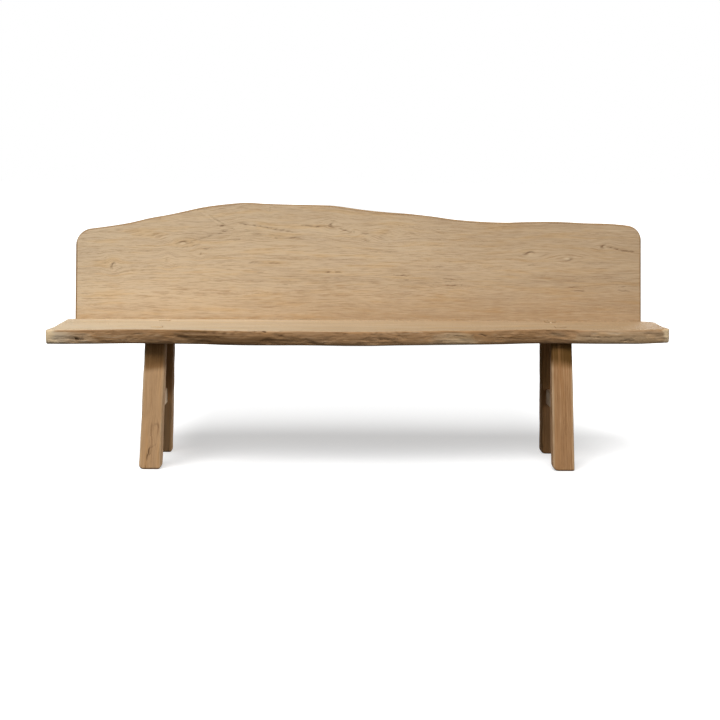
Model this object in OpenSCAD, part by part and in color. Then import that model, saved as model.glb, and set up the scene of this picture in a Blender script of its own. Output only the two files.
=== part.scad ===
// Entry bench: a live-edge slab seat on four splayed legs, with a slab back that leans away.
// X runs along the seat, Y from the front to the back, Z up from the floor.

/* [Seat slab] */
// Length of the seat
seat_l = 2014; // [1700:1:2300]
// How far the seat's middle lies to the right of the middle of its legs and back
seat_shift = 9; // [0:0.5:20]
// Depth of the seat from its front line to its rear edge
seat_d = 363.5; // [320:0.5:420]
// Height of the seat's top face above the floor
seat_h = 452; // [400:1:500]
// Thickness of the seat slab
seat_t = 47; // [40:1:60]
// How far the live edge swells past the front line at its fullest
edge_swell = 64; // [40:1:110]
// How far the top arris of the live edge is worn back
edge_wear = 7; // [3:0.5:12]
// How far the lower arris of the live edge is undercut
edge_undercut = 9; // [4:0.5:16]
// Depth of the live edge's fullest line below the seat's top face
edge_full_z = 20; // [12:1:28]
// Radius of the seat's front left corner
seat_front_left_r = 10; // [4:1:60]
// Radius of the seat's front right corner
seat_front_right_r = 10; // [4:1:60]
// Radius of the seat's rear left corner
seat_rear_left_r = 24; // [6:1:60]
// Radius of the seat's rear right corner
seat_rear_right_r = 70; // [10:1:90]
// How far the seat's front left corner stands out past the rest of its end
seat_flare_left = 8.5; // [2:0.5:14]
// How far the seat's front right corner stands out past the rest of its end
seat_flare_right = 10.5; // [2:0.5:14]
// How far back from the live edge those corners run
seat_flare_run = 100; // [60:1:140]
// Easing of the arrises at the seat's two ends
seat_end_ease = 5; // [2:0.5:8]

/* [Back board] */
// How far the back board stops short of the seat's ends, as the mean of both
back_in = 44; // [30:0.5:120]
// Height of the crest above the seat, measured up the board
back_h = 399.5; // [340:0.5:460]
// Thickness of the back board
back_t = 40; // [32:1:50]
// Lean of the back board from upright, in degrees
lean = 8; // [4:0.5:14]
// Radius of the board's top left corner
back_left_r = 50; // [20:1:80]
// Radius of the board's top right corner
back_right_r = 42; // [20:1:80]
// Easing of the board's arrises
back_ease = 6; // [2:0.5:8]
// Gap between the board's lower edge and the level of the seat's underside
back_foot_gap = 1; // [0.5:0.5:4]

/* [Legs] */
// Centre of the legs in from the seat's ends at the seat, as the mean of both
leg_in = 352.5; // [280:0.5:420]
// How far the rear right leg stands further in than the front one
rear_right_in = 5.5; // [0:0.5:10]
// Side of the square leg under the seat
leg_top = 68; // [54:1:72]
// Side of the square leg at the floor
leg_foot = 71; // [56:1:80]
// Radius of the legs' long arrises
leg_arris = 7; // [3:0.5:12]
// Rounding of the foot where it meets the floor
foot_ease = 6; // [2:0.5:10]
// Centre of the front left leg behind the front line, at the seat
front_leg_in = 63.5; // [24:0.5:80]
// How much further back the top of the front right leg stands, under the narrower end of the seat
front_right_back = 42; // [0:1:70]
// How much further out the top of the front right leg stands
front_right_out = 8; // [0:0.5:12]
// Centre of the rear legs ahead of the rear edge, at the seat
rear_leg_in = 45.5; // [38:0.5:60]
// How far the front left foot stands out to the front of its leg's top
front_splay = 55; // [20:1:70]
// How far the rear feet stand out to the back of their legs' tops
rear_splay = 43; // [20:1:60]
// How far the left feet stand outward of the tops of their legs
foot_out_left = 15.5; // [4:0.5:40]
// How far the right feet stand outward of the tops of their legs
foot_out_right = 11.5; // [4:0.5:40]

/* [Leg joints] */
// Side of the square tenon that passes through the seat
tenon_w = 36; // [28:1:42]
// Radius of the tenon's corners
tenon_r = 4; // [1:0.5:8]
// Length of the wedge driven into each tenon
wedge_l = 32; // [20:1:36]
// Thickness of the wedge at its head
wedge_head = 6; // [4:0.5:8]
// Thickness of the wedge at its tip
wedge_tip = 2; // [1:0.5:3]

/* [Stretchers] */
// Height of the stretchers' centre above the floor
stretcher_z = 199; // [150:1:280]
// Height of a stretcher's section
stretcher_h = 54; // [44:1:64]
// Thickness of a stretcher
stretcher_t = 35; // [26:1:44]
// Chamfer on a stretcher's long arrises
stretcher_ease = 4; // [1:0.5:6]
// Height of the tenon on a stretcher's end
end_tenon_h = 38; // [30:1:42]
// Thickness of the tenon on a stretcher's end
end_tenon_t = 18; // [12:1:22]
// Length of the tenon on a stretcher's end
end_tenon_l = 34; // [24:1:40]
// Chamfer on the arrises of that tenon
end_tenon_ease = 1.5; // [0.5:0.5:3]
// Diameter of the peg that locks each stretcher tenon
peg_d = 9; // [6:0.5:12]

/* [Back brackets] */
// Distance from a leg's inner face to the centre of the nearest bracket, at the seat
bracket_in = 140; // [60:1:260]
// Width of the steel bar
bracket_w = 50; // [36:1:60]
// Thickness of the steel bar
bracket_t = 6; // [4:0.5:8]
// Inner radius of the bend
bend_r = 5; // [2:0.5:7]
// Length of the bracket's arm under the seat
bracket_under = 190; // [150:1:220]
// Height of the bracket's arm up the back of the board
bracket_up = 250; // [180:1:290]
// Screws in each arm
arm_screws = 3; // [2:1:4]
// Distance of the end screws from the ends of an arm
screw_end = 18; // [14:1:26]
// Distance of the first screw in an arm from the board's lower rear corner
screw_heel = 62; // [55:1:75]
// Half the sideways stagger of the screws
screw_stagger = 11; // [4:1:14]

/* [Screws and dowels] */
// Length of the wood screws under their outer face
screw_l = 34; // [26:1:38]
// Diameter of a screw's shank
screw_d = 5.5; // [4:0.5:7]
// Diameter of a screw's countersunk head
head_d = 11; // [8:0.5:13]
// Width of the slot in a screw's head
slot_w = 1.4; // [1:0.1:2]
// Diameter of the dowels between the seat and the board
dowel_d = 12; // [8:1:14]
// Length of a dowel's half in the seat, and of its half in the board
dowel_reach = 28; // [18:1:32]
// Distance of the outer dowels from the board's ends
dowel_in = 90; // [60:1:140]

/* [Clearances] */
// Clearance all round a glued joint
joint_fit = 0.15; // [0.1:0.05:0.4]
// Clearance all round a screw
screw_fit = 0.1; // [0.05:0.05:0.3]
// Space left beyond the end of a blind tenon, dowel, peg or screw
end_gap = 1; // [0.5:0.5:2]
// How far a peg's head lies below the leg's outer face
peg_recess = 0.5; // [0.3:0.1:1]

/* [Hidden] */
$fn = 48;

LEFT = -1;
RIGHT = 1;
FRONT = -1;
REAR = 1;
SIDES = [LEFT, RIGHT];
ROWS = [FRONT, REAR];
past = 2;  // how far a cutter runs on past the surface that it opens
bend_steps = 8;  // flats along the steel's bend
seat_steps = 44;  // sections along the seat between its corners
board_steps = 48;  // sections along the board between its corners

// Plan of the live edge: share of the half length, and share of the swell
live_edge = [[-1, 0.59], [-0.94, 0.59], [-0.85, 0.46], [-0.77, 0.2], [-0.71, 0.13], [-0.58, 0.34],
    [-0.5, 0.51], [-0.42, 0.81], [-0.27, 0.9], [-0.19, 0.8], [-0.04, 1], [0.04, 0.94], [0.12, 0.63],
    [0.24, 0.33], [0.38, 0], [0.46, -0.25], [0.54, -0.63], [0.62, -0.76], [0.74, -0.61],
    [0.84, -0.63], [0.9, -0.7], [0.96, -1.11], [1, -1.39]];
// Top of the board: share of the half width, and drop below the crest
crest_line = [[-1, 97], [-0.942, 89.5], [-0.88, 81.5], [-0.81, 70], [-0.74, 54], [-0.67, 41.5],
    [-0.625, 32], [-0.55, 16], [-0.48, 6.5], [-0.4, 0], [-0.33, 3], [-0.24, 5.5], [-0.13, 7],
    [-0.08, 10], [0.016, 22.5], [0.1, 30.5], [0.182, 36], [0.26, 44], [0.34, 54.5], [0.43, 61],
    [0.52, 64], [0.58, 62], [0.68, 60.5], [0.74, 62], [0.805, 65], [0.88, 67], [0.936, 72], [1, 78]];

seat_under = seat_h - seat_t;
seat_half = seat_l / 2;
back_half = seat_half - back_in;
ease = min(back_ease, back_t / 6);
back_below = (seat_t - back_foot_gap - back_t * sin(lean)) / cos(lean);
heel_y = seat_d + back_t * cos(lean) + (back_t * sin(lean) - seat_t) * tan(lean);
leg_at = seat_half - leg_in;
bracket_x = leg_at - leg_top / 2 - bracket_in;
BRACKETS = [-bracket_x, 0, bracket_x];
head_h = (head_d - screw_d) / 2;

// Smooth curve through hand-chosen points
function slope(p, i) =
    let (a = max(i - 1, 0), b = min(i + 1, len(p) - 1))
    (p[b][1] - p[a][1]) / (p[b][0] - p[a][0]);
function span(p, x) = max([for (i = [0:len(p) - 2]) if (p[i][0] <= x || i == 0) i]);
function curve(p, x) =
    let (i = span(p, x), w = p[i + 1][0] - p[i][0], t = (x - p[i][0]) / w)
    p[i][1] * (1 + 2 * t) * pow(1 - t, 2) + p[i + 1][1] * t * t * (3 - 2 * t)
        + w * (slope(p, i) * t * pow(1 - t, 2) - slope(p, i + 1) * t * t * (1 - t));

// How much a corner of radius r takes off at the distance s from the end
function corner_cut(s, r) = s >= r ? 0 : r - sqrt(r * r - pow(r - s, 2));

// Places along a slab: close together round the corners, even between them
function stations(half, r, steps) =
    let (run = [for (a = [0:15:75]) r * (1 - cos(a))], middle = half - r)
    concat([for (s = run) s - half],
        [for (i = [0:steps]) middle * (2 * i / steps - 1)],
        [for (i = [len(run) - 1:-1:0]) half - run[i]]);

// Solid through a row of outlines that all have as many points.
// Each outline turns anticlockwise as seen from the last one towards the first.
// Its ends are fans from the first point, unless end_faces lists the loops that close them.
module loft(rings, end_faces = []) {
    k = len(rings[0]);
    last = (len(rings) - 1) * k;
    sides = [for (i = [0:len(rings) - 2], j = [0:k - 1])
        let (a = i * k + j, b = i * k + (j + 1) % k)
        each [[a, b + k, b], [a, a + k, b + k]]];
    loops = len(end_faces) > 0 ? end_faces : [for (j = [1:k - 2]) [0, j, j + 1]];
    first_cap = loops;
    last_cap = [for (f = loops) [for (j = [len(f) - 1:-1:0]) last + f[j]]];
    polyhedron([for (ring = rings) each ring], concat(sides, first_cap, last_cap));
}

// Section of the seat at x, from its lower front arris round by the rear edge.
// The last number of each point is the share of the flare by which it draws in at the seat's ends.
seat_r = max(seat_front_left_r, seat_front_right_r, seat_rear_left_r, seat_rear_right_r);
function seat_ring(x) =
    let (side = x < 0 ? LEFT : RIGHT, s = seat_half - abs(x),
        front_r = side == LEFT ? seat_front_left_r : seat_front_right_r,
        rear_r = side == LEFT ? seat_rear_left_r : seat_rear_right_r,
        flare = side == LEFT ? seat_flare_left : seat_flare_right,
        draw = flare * max(0, 1 - s / seat_r),
        front = corner_cut(s, front_r) - edge_swell * curve(live_edge, x / seat_half),
        rear = seat_d - corner_cut(s, rear_r),
        cut = corner_cut(s, seat_end_ease),
        top = seat_h - cut, low = seat_under + cut)
    [for (p = [[front + edge_undercut, low, 0],
            [front + seat_flare_run / 2, low, 0.35],
            [front + seat_flare_run, low, 1],
            [rear - (seat_h - low) * tan(lean), low, 1],
            [rear - (seat_h - top) * tan(lean), top, 1],
            [front + seat_flare_run, top, 1],
            [front + seat_flare_run / 2, top, 0.35],
            [front + edge_wear, top, 0],
            [front + edge_wear / 4, min(top, seat_h - edge_wear / 2), 0],
            [front, seat_h - edge_full_z, 0],
            [front + edge_undercut / 3, seat_under + max(cut, edge_undercut), 0]])
        [x + seat_shift - side * draw * p[2], p[0], p[1]]];
seat_end_faces = [[3, 4, 5, 2], [2, 5, 6, 1], [1, 6, 7, 0], [7, 8, 9, 10, 0]];
seat_rings = [for (x = stations(seat_half, seat_r, seat_steps)) seat_ring(x)];

// A point of the board: w through its thickness from the front face, u up the board from the seat
function board_point(x, w, u) =
    [x, seat_d + w * cos(lean) + u * sin(lean), seat_h - w * sin(lean) + u * cos(lean)];
function board_ring(x) =
    let (side = x < 0 ? LEFT : RIGHT, s = back_half - abs(x),
        r = side == LEFT ? back_left_r : back_right_r,
        cut = corner_cut(s, ease),
        top = back_h - curve(crest_line, x / back_half) - corner_cut(s, r),
        low = cut - back_below, near = cut, far = back_t - cut)
    [for (p = [[near + ease, low], [far - ease, low], [far, low + ease], [far, top - ease],
            [far - ease, top], [near + ease, top], [near, top - ease], [near, low + ease]])
        board_point(x, p[0], p[1])];
board_rings = [for (x = stations(back_half, max(back_left_r, back_right_r), board_steps)) board_ring(x)];

// Legs: a row and a side name one of them
function drop(z) = (seat_under - z) / seat_under;
function foot_out(side) = side == LEFT ? foot_out_left : foot_out_right;
function further_in(side, row) = side == RIGHT && row == REAR ? rear_right_in : 0;
function further_out(side, row) = side == RIGHT && row == FRONT ? front_right_out : 0;
function leg_x(side, row, z) =
    side * (leg_at - further_in(side, row) + further_out(side, row) * (1 - drop(z))
        + foot_out(side) * drop(z));
function further_back(side, row) = side == RIGHT && row == FRONT ? front_right_back : 0;
function leg_y(side, row, z) =
    let (more = further_back(side, row))
    row == FRONT ? front_leg_in + more - (front_splay + more) * drop(z)
        : seat_d - rear_leg_in + rear_splay * drop(z);
function leg_w(z) = leg_top + (leg_foot - leg_top) * drop(z);
// Face of a leg that looks at its neighbour across the seat's depth
function facing_y(side, row, z) = leg_y(side, row, z) - row * leg_w(z) / 2;

// Level square section with round corners, about a leg's axis
function leg_ring(side, row, z, w, r) =
    [for (q = [0:3], a = [0:45:90])
        let (sx = q == 0 || q == 3 ? 1 : -1, sy = q < 2 ? 1 : -1, t = 90 * q + a)
        [leg_x(side, row, z) + sx * (w / 2 - r) + r * cos(t),
            leg_y(side, row, z) + sy * (w / 2 - r) + r * sin(t), z]];
module leg_blank(side, row) {
    loft([leg_ring(side, row, 0, leg_foot - 2 * foot_ease, leg_arris),
        leg_ring(side, row, foot_ease / 3, leg_foot - 2 * foot_ease / 3, leg_arris),
        leg_ring(side, row, foot_ease, leg_w(foot_ease), leg_arris),
        leg_ring(side, row, seat_under, leg_top, leg_arris),
        leg_ring(side, row, seat_under, tenon_w, tenon_r),
        leg_ring(side, row, seat_h, tenon_w, tenon_r)]);
}
module seat_mortise(side, row) {
    w = tenon_w + 2 * joint_fit;
    loft([leg_ring(side, row, seat_under - past, w, tenon_r),
        leg_ring(side, row, seat_h + past, w, tenon_r)]);
}

// Wedge across a tenon: grow is the room around its faces, run the length past its edges
function wedge_ring(side, row, z, t, run) =
    [for (p = [[1, 1], [-1, 1], [-1, -1], [1, -1]])
        [leg_x(side, row, z) + p[0] * t / 2, leg_y(side, row, z) + p[1] * (tenon_w / 2 + run), z]];
module wedge(side, row, grow, run, rise) {
    taper = (wedge_head - wedge_tip) / wedge_l;
    loft([wedge_ring(side, row, seat_h - wedge_l - grow, wedge_tip + 2 * grow, run),
        wedge_ring(side, row, seat_h + rise, wedge_head + 2 * grow + taper * rise, run)]);
}

// Section of a stretcher at a row's shoulder: upright on its tenon's end, else on the leg's face
function bar_ring(side, row, t, h, c, reach) =
    [for (p = [[-1, -1, 0, 1], [-1, 1, 0, -1], [-1, 1, 1, 0], [1, 1, -1, 0],
            [1, 1, 0, -1], [1, -1, 0, 1], [1, -1, -1, 0], [-1, -1, 1, 0]])
        let (z = stretcher_z + p[1] * h / 2 + p[3] * c)
        [leg_x(side, row, stretcher_z) + p[0] * t / 2 + p[2] * c,
            reach == 0 ? facing_y(side, row, z) : facing_y(side, row, stretcher_z) + row * reach, z]];
function body_ring(side, row) = bar_ring(side, row, stretcher_t, stretcher_h, stretcher_ease, 0);
function end_ring(side, row, reach, grow) =
    bar_ring(side, row, end_tenon_t + 2 * grow, end_tenon_h + 2 * grow, end_tenon_ease, reach);
module stretcher_blank(side) {
    loft([end_ring(side, FRONT, end_tenon_l, 0), end_ring(side, FRONT, 0, 0),
        body_ring(side, FRONT), body_ring(side, REAR),
        end_ring(side, REAR, 0, 0), end_ring(side, REAR, end_tenon_l, 0)]);
}
module end_mortise(side, row) {
    deep = end_ring(side, row, end_tenon_l + end_gap, joint_fit);
    open = end_ring(side, row, -stretcher_t, joint_fit);
    loft(row == FRONT ? [deep, open] : [open, deep]);
}

// Peg from a leg's outer face through the stretcher's tenon
module peg(side, row, grow, recess, deeper) {
    outer = leg_x(side, row, stretcher_z) + side * (leg_w(stretcher_z) / 2 - recess);
    inner = leg_x(side, row, stretcher_z) - side * (end_tenon_t / 2 + peg_d + deeper);
    translate([min(outer, inner), facing_y(side, row, stretcher_z) + row * end_tenon_l / 2, stretcher_z])
        rotate([0, 90, 0]) cylinder(h = abs(outer - inner), d = peg_d + 2 * grow);
}

// Frame of the board: Y through its thickness, Z up its slope, from the seat's rear top edge
module on_board() {
    translate([0, seat_d, seat_h]) rotate([-lean, 0, 0]) children();
}

// Screw with its head's outer face on z = 0 and its point up
module screw() {
    tip = screw_d;
    difference() {
        union() {
            cylinder(h = head_h, d1 = head_d, d2 = screw_d);
            translate([0, 0, head_h]) cylinder(h = screw_l - head_h - tip, d = screw_d);
            translate([0, 0, screw_l - tip]) cylinder(h = tip, d1 = screw_d, d2 = screw_d / 4);
        }
        translate([-head_d, -slot_w / 2, -past]) cube([2 * head_d, slot_w, past + head_h / 2]);
    }
}
module screw_hole() {
    grow = 2 * screw_fit;
    translate([0, 0, -past]) cylinder(h = past, d = head_d + grow);
    cylinder(h = head_h, d1 = head_d + grow, d2 = screw_d + grow);
    cylinder(h = screw_l + end_gap, d = screw_d + grow);
}
function screw_place(i, length) =
    screw_heel + i * (length - screw_end - screw_heel) / (arm_screws - 1);
function stagger(i) = screw_stagger * (i % 2 == 0 ? 1 : -1);
module at_seat_screws() {
    for (i = [0:arm_screws - 1])
        translate([stagger(i), heel_y - screw_place(i, bracket_under), seat_under - bracket_t])
            children();
}
module at_back_screws() {
    for (i = [0:arm_screws - 1])
        on_board() translate([stagger(i), back_t + bracket_t, screw_place(i, bracket_up) - back_below])
            rotate([90, 0, 0]) children();
}

module at_dowels() {
    for (x = [dowel_in - back_half, -bracket_x / 2, bracket_x / 2, back_half - dowel_in])
        on_board() translate([x, 0, -back_below / 2]) rotate([-90, 0, 0]) children();
}
module dowel(grow, gap) {
    reach = dowel_reach + gap;
    translate([0, 0, -reach]) cylinder(h = 2 * reach, d = dowel_d + 2 * grow);
}

// Steel bar bent up behind the board: its arms lie on the seat's underside and on the board's back
function arc(middle, r, from, to) =
    [for (i = [0:bend_steps])
        let (a = from + (to - from) * i / bend_steps)
        [middle[0] + r * cos(a), middle[1] + r * sin(a)]];
function arm_point(w, u) =
    [heel_y + w * cos(lean) + u * sin(lean), seat_under - w * sin(lean) + u * cos(lean)];
module bent_bar() {
    middle = [heel_y - bend_r * tan(45 - lean / 2), seat_under + bend_r];
    toe = heel_y - bracket_under;
    rotate([90, 0, 90]) translate([0, 0, -bracket_w / 2]) linear_extrude(height = bracket_w)
        polygon(concat([[toe, seat_under], [toe, seat_under - bracket_t]],
            arc(middle, bend_r + bracket_t, -90, -lean),
            [arm_point(bracket_t, bracket_up), arm_point(0, bracket_up)],
            arc(middle, bend_r, -lean, -90)));
}
module bracket(x) {
    color("#4c4a47") centred() translate([x, 0, 0]) difference() {
        bent_bar();
        at_seat_screws() screw_hole();
        at_back_screws() screw_hole();
    }
}

// The origin lies in the middle of the seat's length, and of the whole bench's reach from front to back
function y_of(rings) = [for (ring = rings, p = ring) p[1]];
reach_front = min(concat(y_of(seat_rings), [leg_y(LEFT, FRONT, foot_ease) - leg_w(foot_ease) / 2]));
heel_back = heel_y + bracket_up * sin(lean) + bracket_t * cos(lean);
reach_back = max(concat(y_of(board_rings), [leg_y(LEFT, REAR, foot_ease) + leg_w(foot_ease) / 2, heel_back]));
module centred() {
    translate([-seat_shift, -(reach_front + reach_back) / 2, 0]) children();
}

module seat_slab() {
    color("#c8ad83") centred() difference() {
        loft(seat_rings, seat_end_faces);
        for (side = SIDES, row = ROWS) seat_mortise(side, row);
        at_dowels() dowel(joint_fit, end_gap);
        for (x = BRACKETS) translate([x, 0, 0]) at_seat_screws() screw_hole();
    }
}
module back_board() {
    color("#c2a57f") centred() difference() {
        loft(board_rings);
        at_dowels() dowel(joint_fit, end_gap);
        for (x = BRACKETS) translate([x, 0, 0]) at_back_screws() screw_hole();
    }
}
module leg(side, row) {
    color("#a5845e") centred() difference() {
        leg_blank(side, row);
        wedge(side, row, joint_fit, past, past);
        end_mortise(side, row);
        peg(side, row, joint_fit, -past, end_gap);
    }
}
module stretcher(side) {
    color("#99805f") centred() difference() {
        stretcher_blank(side);
        for (row = ROWS) peg(side, row, joint_fit, -past, end_gap);
    }
}
module leg_wedges() {
    color("#8a6a48") centred() for (side = SIDES, row = ROWS) wedge(side, row, 0, 0, 0);
}
module stretcher_pegs() {
    color("#8a6a48") centred() for (side = SIDES, row = ROWS) peg(side, row, 0, peg_recess, 0);
}
module seat_screws() {
    color("#b8b4aa") centred() for (x = BRACKETS) translate([x, 0, 0]) at_seat_screws() screw();
}
module back_screws() {
    color("#b8b4aa") centred() for (x = BRACKETS) translate([x, 0, 0]) at_back_screws() screw();
}
module back_dowels() {
    color("#d8c49c") centred() at_dowels() dowel(0, 0);
}

seat_slab();
back_board();
leg(LEFT, FRONT);  // leg_front_left
leg(RIGHT, FRONT);  // leg_front_right
leg(LEFT, REAR);  // leg_rear_left
leg(RIGHT, REAR);  // leg_rear_right
stretcher(LEFT);  // stretcher_left
stretcher(RIGHT);  // stretcher_right
leg_wedges();
stretcher_pegs();
bracket(-bracket_x);  // bracket_left
bracket(0);  // bracket_centre
bracket(bracket_x);  // bracket_right
seat_screws();
back_screws();
back_dowels();
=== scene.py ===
"""Entry bench in worn, pale wood: its looks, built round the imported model.

A live-edge slab seat stands on four splayed legs, each end pair tied by a stretcher, and a wide slab
with a wavy crest leans behind it as a back. Lengths are in metres. X runs along the seat, Y from the
front to the back and Z up from the floor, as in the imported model.
"""

from __future__ import annotations

import logging
import math
from collections.abc import Mapping, Sequence
from dataclasses import dataclass
from enum import Enum
from typing import Any, Union

import bmesh
import bpy
import numpy as np
from mathutils import Matrix, Vector


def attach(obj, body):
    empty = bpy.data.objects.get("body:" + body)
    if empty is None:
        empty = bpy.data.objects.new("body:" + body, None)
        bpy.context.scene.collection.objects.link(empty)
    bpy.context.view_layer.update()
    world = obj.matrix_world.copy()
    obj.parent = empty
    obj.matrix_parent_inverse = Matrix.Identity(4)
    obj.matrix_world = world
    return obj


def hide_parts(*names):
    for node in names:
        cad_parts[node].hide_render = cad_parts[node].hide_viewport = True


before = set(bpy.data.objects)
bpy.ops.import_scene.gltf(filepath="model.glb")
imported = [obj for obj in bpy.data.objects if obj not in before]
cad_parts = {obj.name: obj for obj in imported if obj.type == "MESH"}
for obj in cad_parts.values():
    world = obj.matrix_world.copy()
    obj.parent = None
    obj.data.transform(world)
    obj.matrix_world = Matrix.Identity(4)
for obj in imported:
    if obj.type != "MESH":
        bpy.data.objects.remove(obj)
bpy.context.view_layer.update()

log = logging.getLogger("entry_bench")

Array = np.ndarray
Colour = tuple[float, float, float]
Pairs = tuple[tuple[float, float], ...]

MM = 0.001
BODY = "root"
NEARLY_ONE = 0.99


class Side(Enum):
    """An end of the bench, as its front is looked at."""

    LEFT = -1
    RIGHT = 1


class Row(Enum):
    """The front pair of legs, or the rear pair."""

    FRONT = -1
    REAR = 1


# Numbers


def smooth(value: Array, low: float, high: float) -> Array:
    """Rises gently from 0 at low to 1 at high.

    Args:
        value: The numbers to read.
        low: Where the rise starts.
        high: Where it ends; it may be below low, for a fall.

    Returns:
        The share of the rise at each number.
    """
    share = np.clip((value - low) / (high - low), 0.0, 1.0)
    return share * share * (3.0 - 2.0 * share)


def bell(value: Array, middle: float, width: float) -> Array:
    """Soft hump of height 1 about a middle."""
    return np.exp(-(((value - middle) / width) ** 2))


def curve(points: Sequence[Sequence[float]], at: Array) -> Array:
    """Smooth curve through given points, the one that the part's source uses.

    Args:
        points: The points in order, each a place and a height.
        at: The places to read.

    Returns:
        The height of the curve at each place.
    """
    place, height = np.array(points, float).T
    last = len(place) - 1
    before = np.maximum(np.arange(last + 1) - 1, 0)
    after = np.minimum(np.arange(last + 1) + 1, last)
    slope = (height[after] - height[before]) / (place[after] - place[before])
    i = np.clip(np.searchsorted(place, at, side="right") - 1, 0, last - 1)
    wide = place[i + 1] - place[i]
    t = (at - place[i]) / wide
    return (
        height[i] * (1 + 2 * t) * (1 - t) ** 2
        + height[i + 1] * t * t * (3 - 2 * t)
        + wide * (slope[i] * t * (1 - t) ** 2 - slope[i + 1] * t * t * (1 - t))
    )


def points_of(*parts: Array | float) -> Array:
    """Points from their separate coordinates, which may be single numbers or rows."""
    return np.stack(np.broadcast_arrays(*parts), -1)


def corner_cut(distance: Array, radius: float) -> Array:
    """How much a round corner takes off at a distance from the end."""
    inside = np.clip(radius - distance, 0.0, radius)
    return radius - np.sqrt(radius * radius - inside * inside)


def end_cut(x: Array, half: float, left: float, right: float) -> Array:
    """How much the round corners at a slab's two ends take off, at each place along it."""
    far = half - np.abs(x)
    return np.where(x < 0, corner_cut(far, left), corner_cut(far, right))


def ripple(points: Array, seed: int, count: int = 20) -> Array:
    """Gentle unevenness: a fixed sum of waves about one unit long.

    Args:
        points: Places, scaled so that one unit is one wave.
        seed: Chooses the waves.
        count: How many waves are added up.

    Returns:
        A height at each place, mostly between -1 and 1.
    """
    rng = np.random.default_rng(seed)
    turns = rng.normal(size=(count, points.shape[-1])) * 3.6
    phase = rng.uniform(0.0, 2.0 * math.pi, count)
    return np.sin(points @ turns.T + phase).sum(-1) / math.sqrt(count)


def roughness(points: Array, seed: int, octaves: int = 3) -> Array:
    """Unevenness on several scales, each half as long and half as high as the last."""
    total = np.zeros(points.shape[:-1])
    for step in range(octaves):
        total += ripple(points * 2.0**step, seed + step) * 0.5**step
    return total


# Shader nodes

Value = Union["Link", float, Sequence[float]]


class Link:
    """A node's output. Expressions on it add Math nodes, so maths on single values reads as Python."""

    def __init__(self, graph: Graph, socket: bpy.types.NodeSocket) -> None:
        """Wraps one output socket of a graph."""
        self.graph = graph
        self.socket = socket

    def math(self, operation: str, *values: Value) -> Link:
        """Adds one Math node.

        Args:
            operation: The node's operation.
            values: Its inputs, in order.

        Returns:
            The node's output.
        """
        sockets = dict(enumerate(values))
        return self.graph.add("ShaderNodeMath", {"operation": operation}, sockets)

    def __add__(self, other: Value) -> Link:
        """This value plus another."""
        return self.math("ADD", self, other)

    def __radd__(self, other: Value) -> Link:
        """Another value plus this one."""
        return self.math("ADD", other, self)

    def __sub__(self, other: Value) -> Link:
        """This value less another."""
        return self.math("SUBTRACT", self, other)

    def __rsub__(self, other: Value) -> Link:
        """Another value less this one."""
        return self.math("SUBTRACT", other, self)

    def __mul__(self, other: Value) -> Link:
        """This value times another."""
        return self.math("MULTIPLY", self, other)

    def ramp(self, low: float, high: float) -> Link:
        """Rises gently from 0 at low to 1 at high."""
        settings = {"interpolation_type": "SMOOTHSTEP"}
        return self.graph.add("ShaderNodeMapRange", settings, {0: self, 1: low, 2: high})

    def larger(self, other: Value) -> Link:
        """The larger of this value and another."""
        return self.math("MAXIMUM", self, other)


class Graph:
    """The nodes of one material, of the world, or of a geometry tree."""

    def __init__(self, tree: bpy.types.NodeTree) -> None:
        """Starts on an empty tree."""
        self.tree = tree
        tree.nodes.clear()

    def node(
        self,
        kind: str,
        settings: Mapping[str, Any] | None = None,
        sockets: Mapping[int | str, Value] | None = None,
    ) -> bpy.types.Node:
        """Adds any node.

        Args:
            kind: The node's type.
            settings: Its own settings, which are made first.
            sockets: A value or a link for each socket that is used, by its index or name.

        Returns:
            The new node.
        """
        node = self.tree.nodes.new(kind)
        for name, setting in (settings or {}).items():
            setattr(node, name, setting)
        for key, value in (sockets or {}).items():
            if isinstance(value, Link):
                self.tree.links.new(value.socket, node.inputs[key])
            elif value is not None:
                node.inputs[key].default_value = value
        return node

    def add(
        self,
        kind: str,
        settings: Mapping[str, Any] | None = None,
        sockets: Mapping[int | str, Value] | None = None,
        out: int | str = 0,
    ) -> Link:
        """Adds any node, as node does.

        Args:
            kind: The node's type.
            settings: Its own settings.
            sockets: A value or a link for each socket that is used.
            out: The output that is wanted.

        Returns:
            That output.
        """
        return Link(self, self.node(kind, settings, sockets).outputs[out])

    def mix(self, first: Value, second: Value, share: Value, blend: str = "MIX") -> Link:
        """Mixes two colours.

        Args:
            first: The colour at a share of 0.
            second: The colour at a share of 1.
            share: How much of the second.
            blend: How they are mixed.

        Returns:
            The mixed colour.
        """
        colours = [c if isinstance(c, Link) else (*c, 1.0) for c in (first, second)]
        settings = {"data_type": "RGBA", "blend_type": blend}
        return self.add("ShaderNodeMix", settings, {0: share, 6: colours[0], 7: colours[1]}, 2)

    def scaled(self, place: Link, by: Sequence[float]) -> Link:
        """Stretches a place along its three axes."""
        return self.add("ShaderNodeVectorMath", {"operation": "MULTIPLY"}, {0: place, 1: tuple(by)})

    def noise(self, place: Link, by: Sequence[float], detail: float = 2.0, rough: float = 0.5) -> Link:
        """Noise read at a stretched place.

        Args:
            place: Where it is read.
            by: Waves a metre along each axis.
            detail: How many finer layers it has.
            rough: How strong the finer layers are.

        Returns:
            A value about 0.5.
        """
        sockets = {"Vector": self.scaled(place, by), "Scale": 1.0, "Detail": detail, "Roughness": rough}
        return self.add("ShaderNodeTexNoise", None, sockets)

    def bump(self, height: Link, depth: float, strength: float) -> Link:
        """Turns a height into a slope of the surface."""
        return self.add("ShaderNodeBump", None, {"Strength": strength, "Distance": depth, "Height": height})


# Finishes


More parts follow.
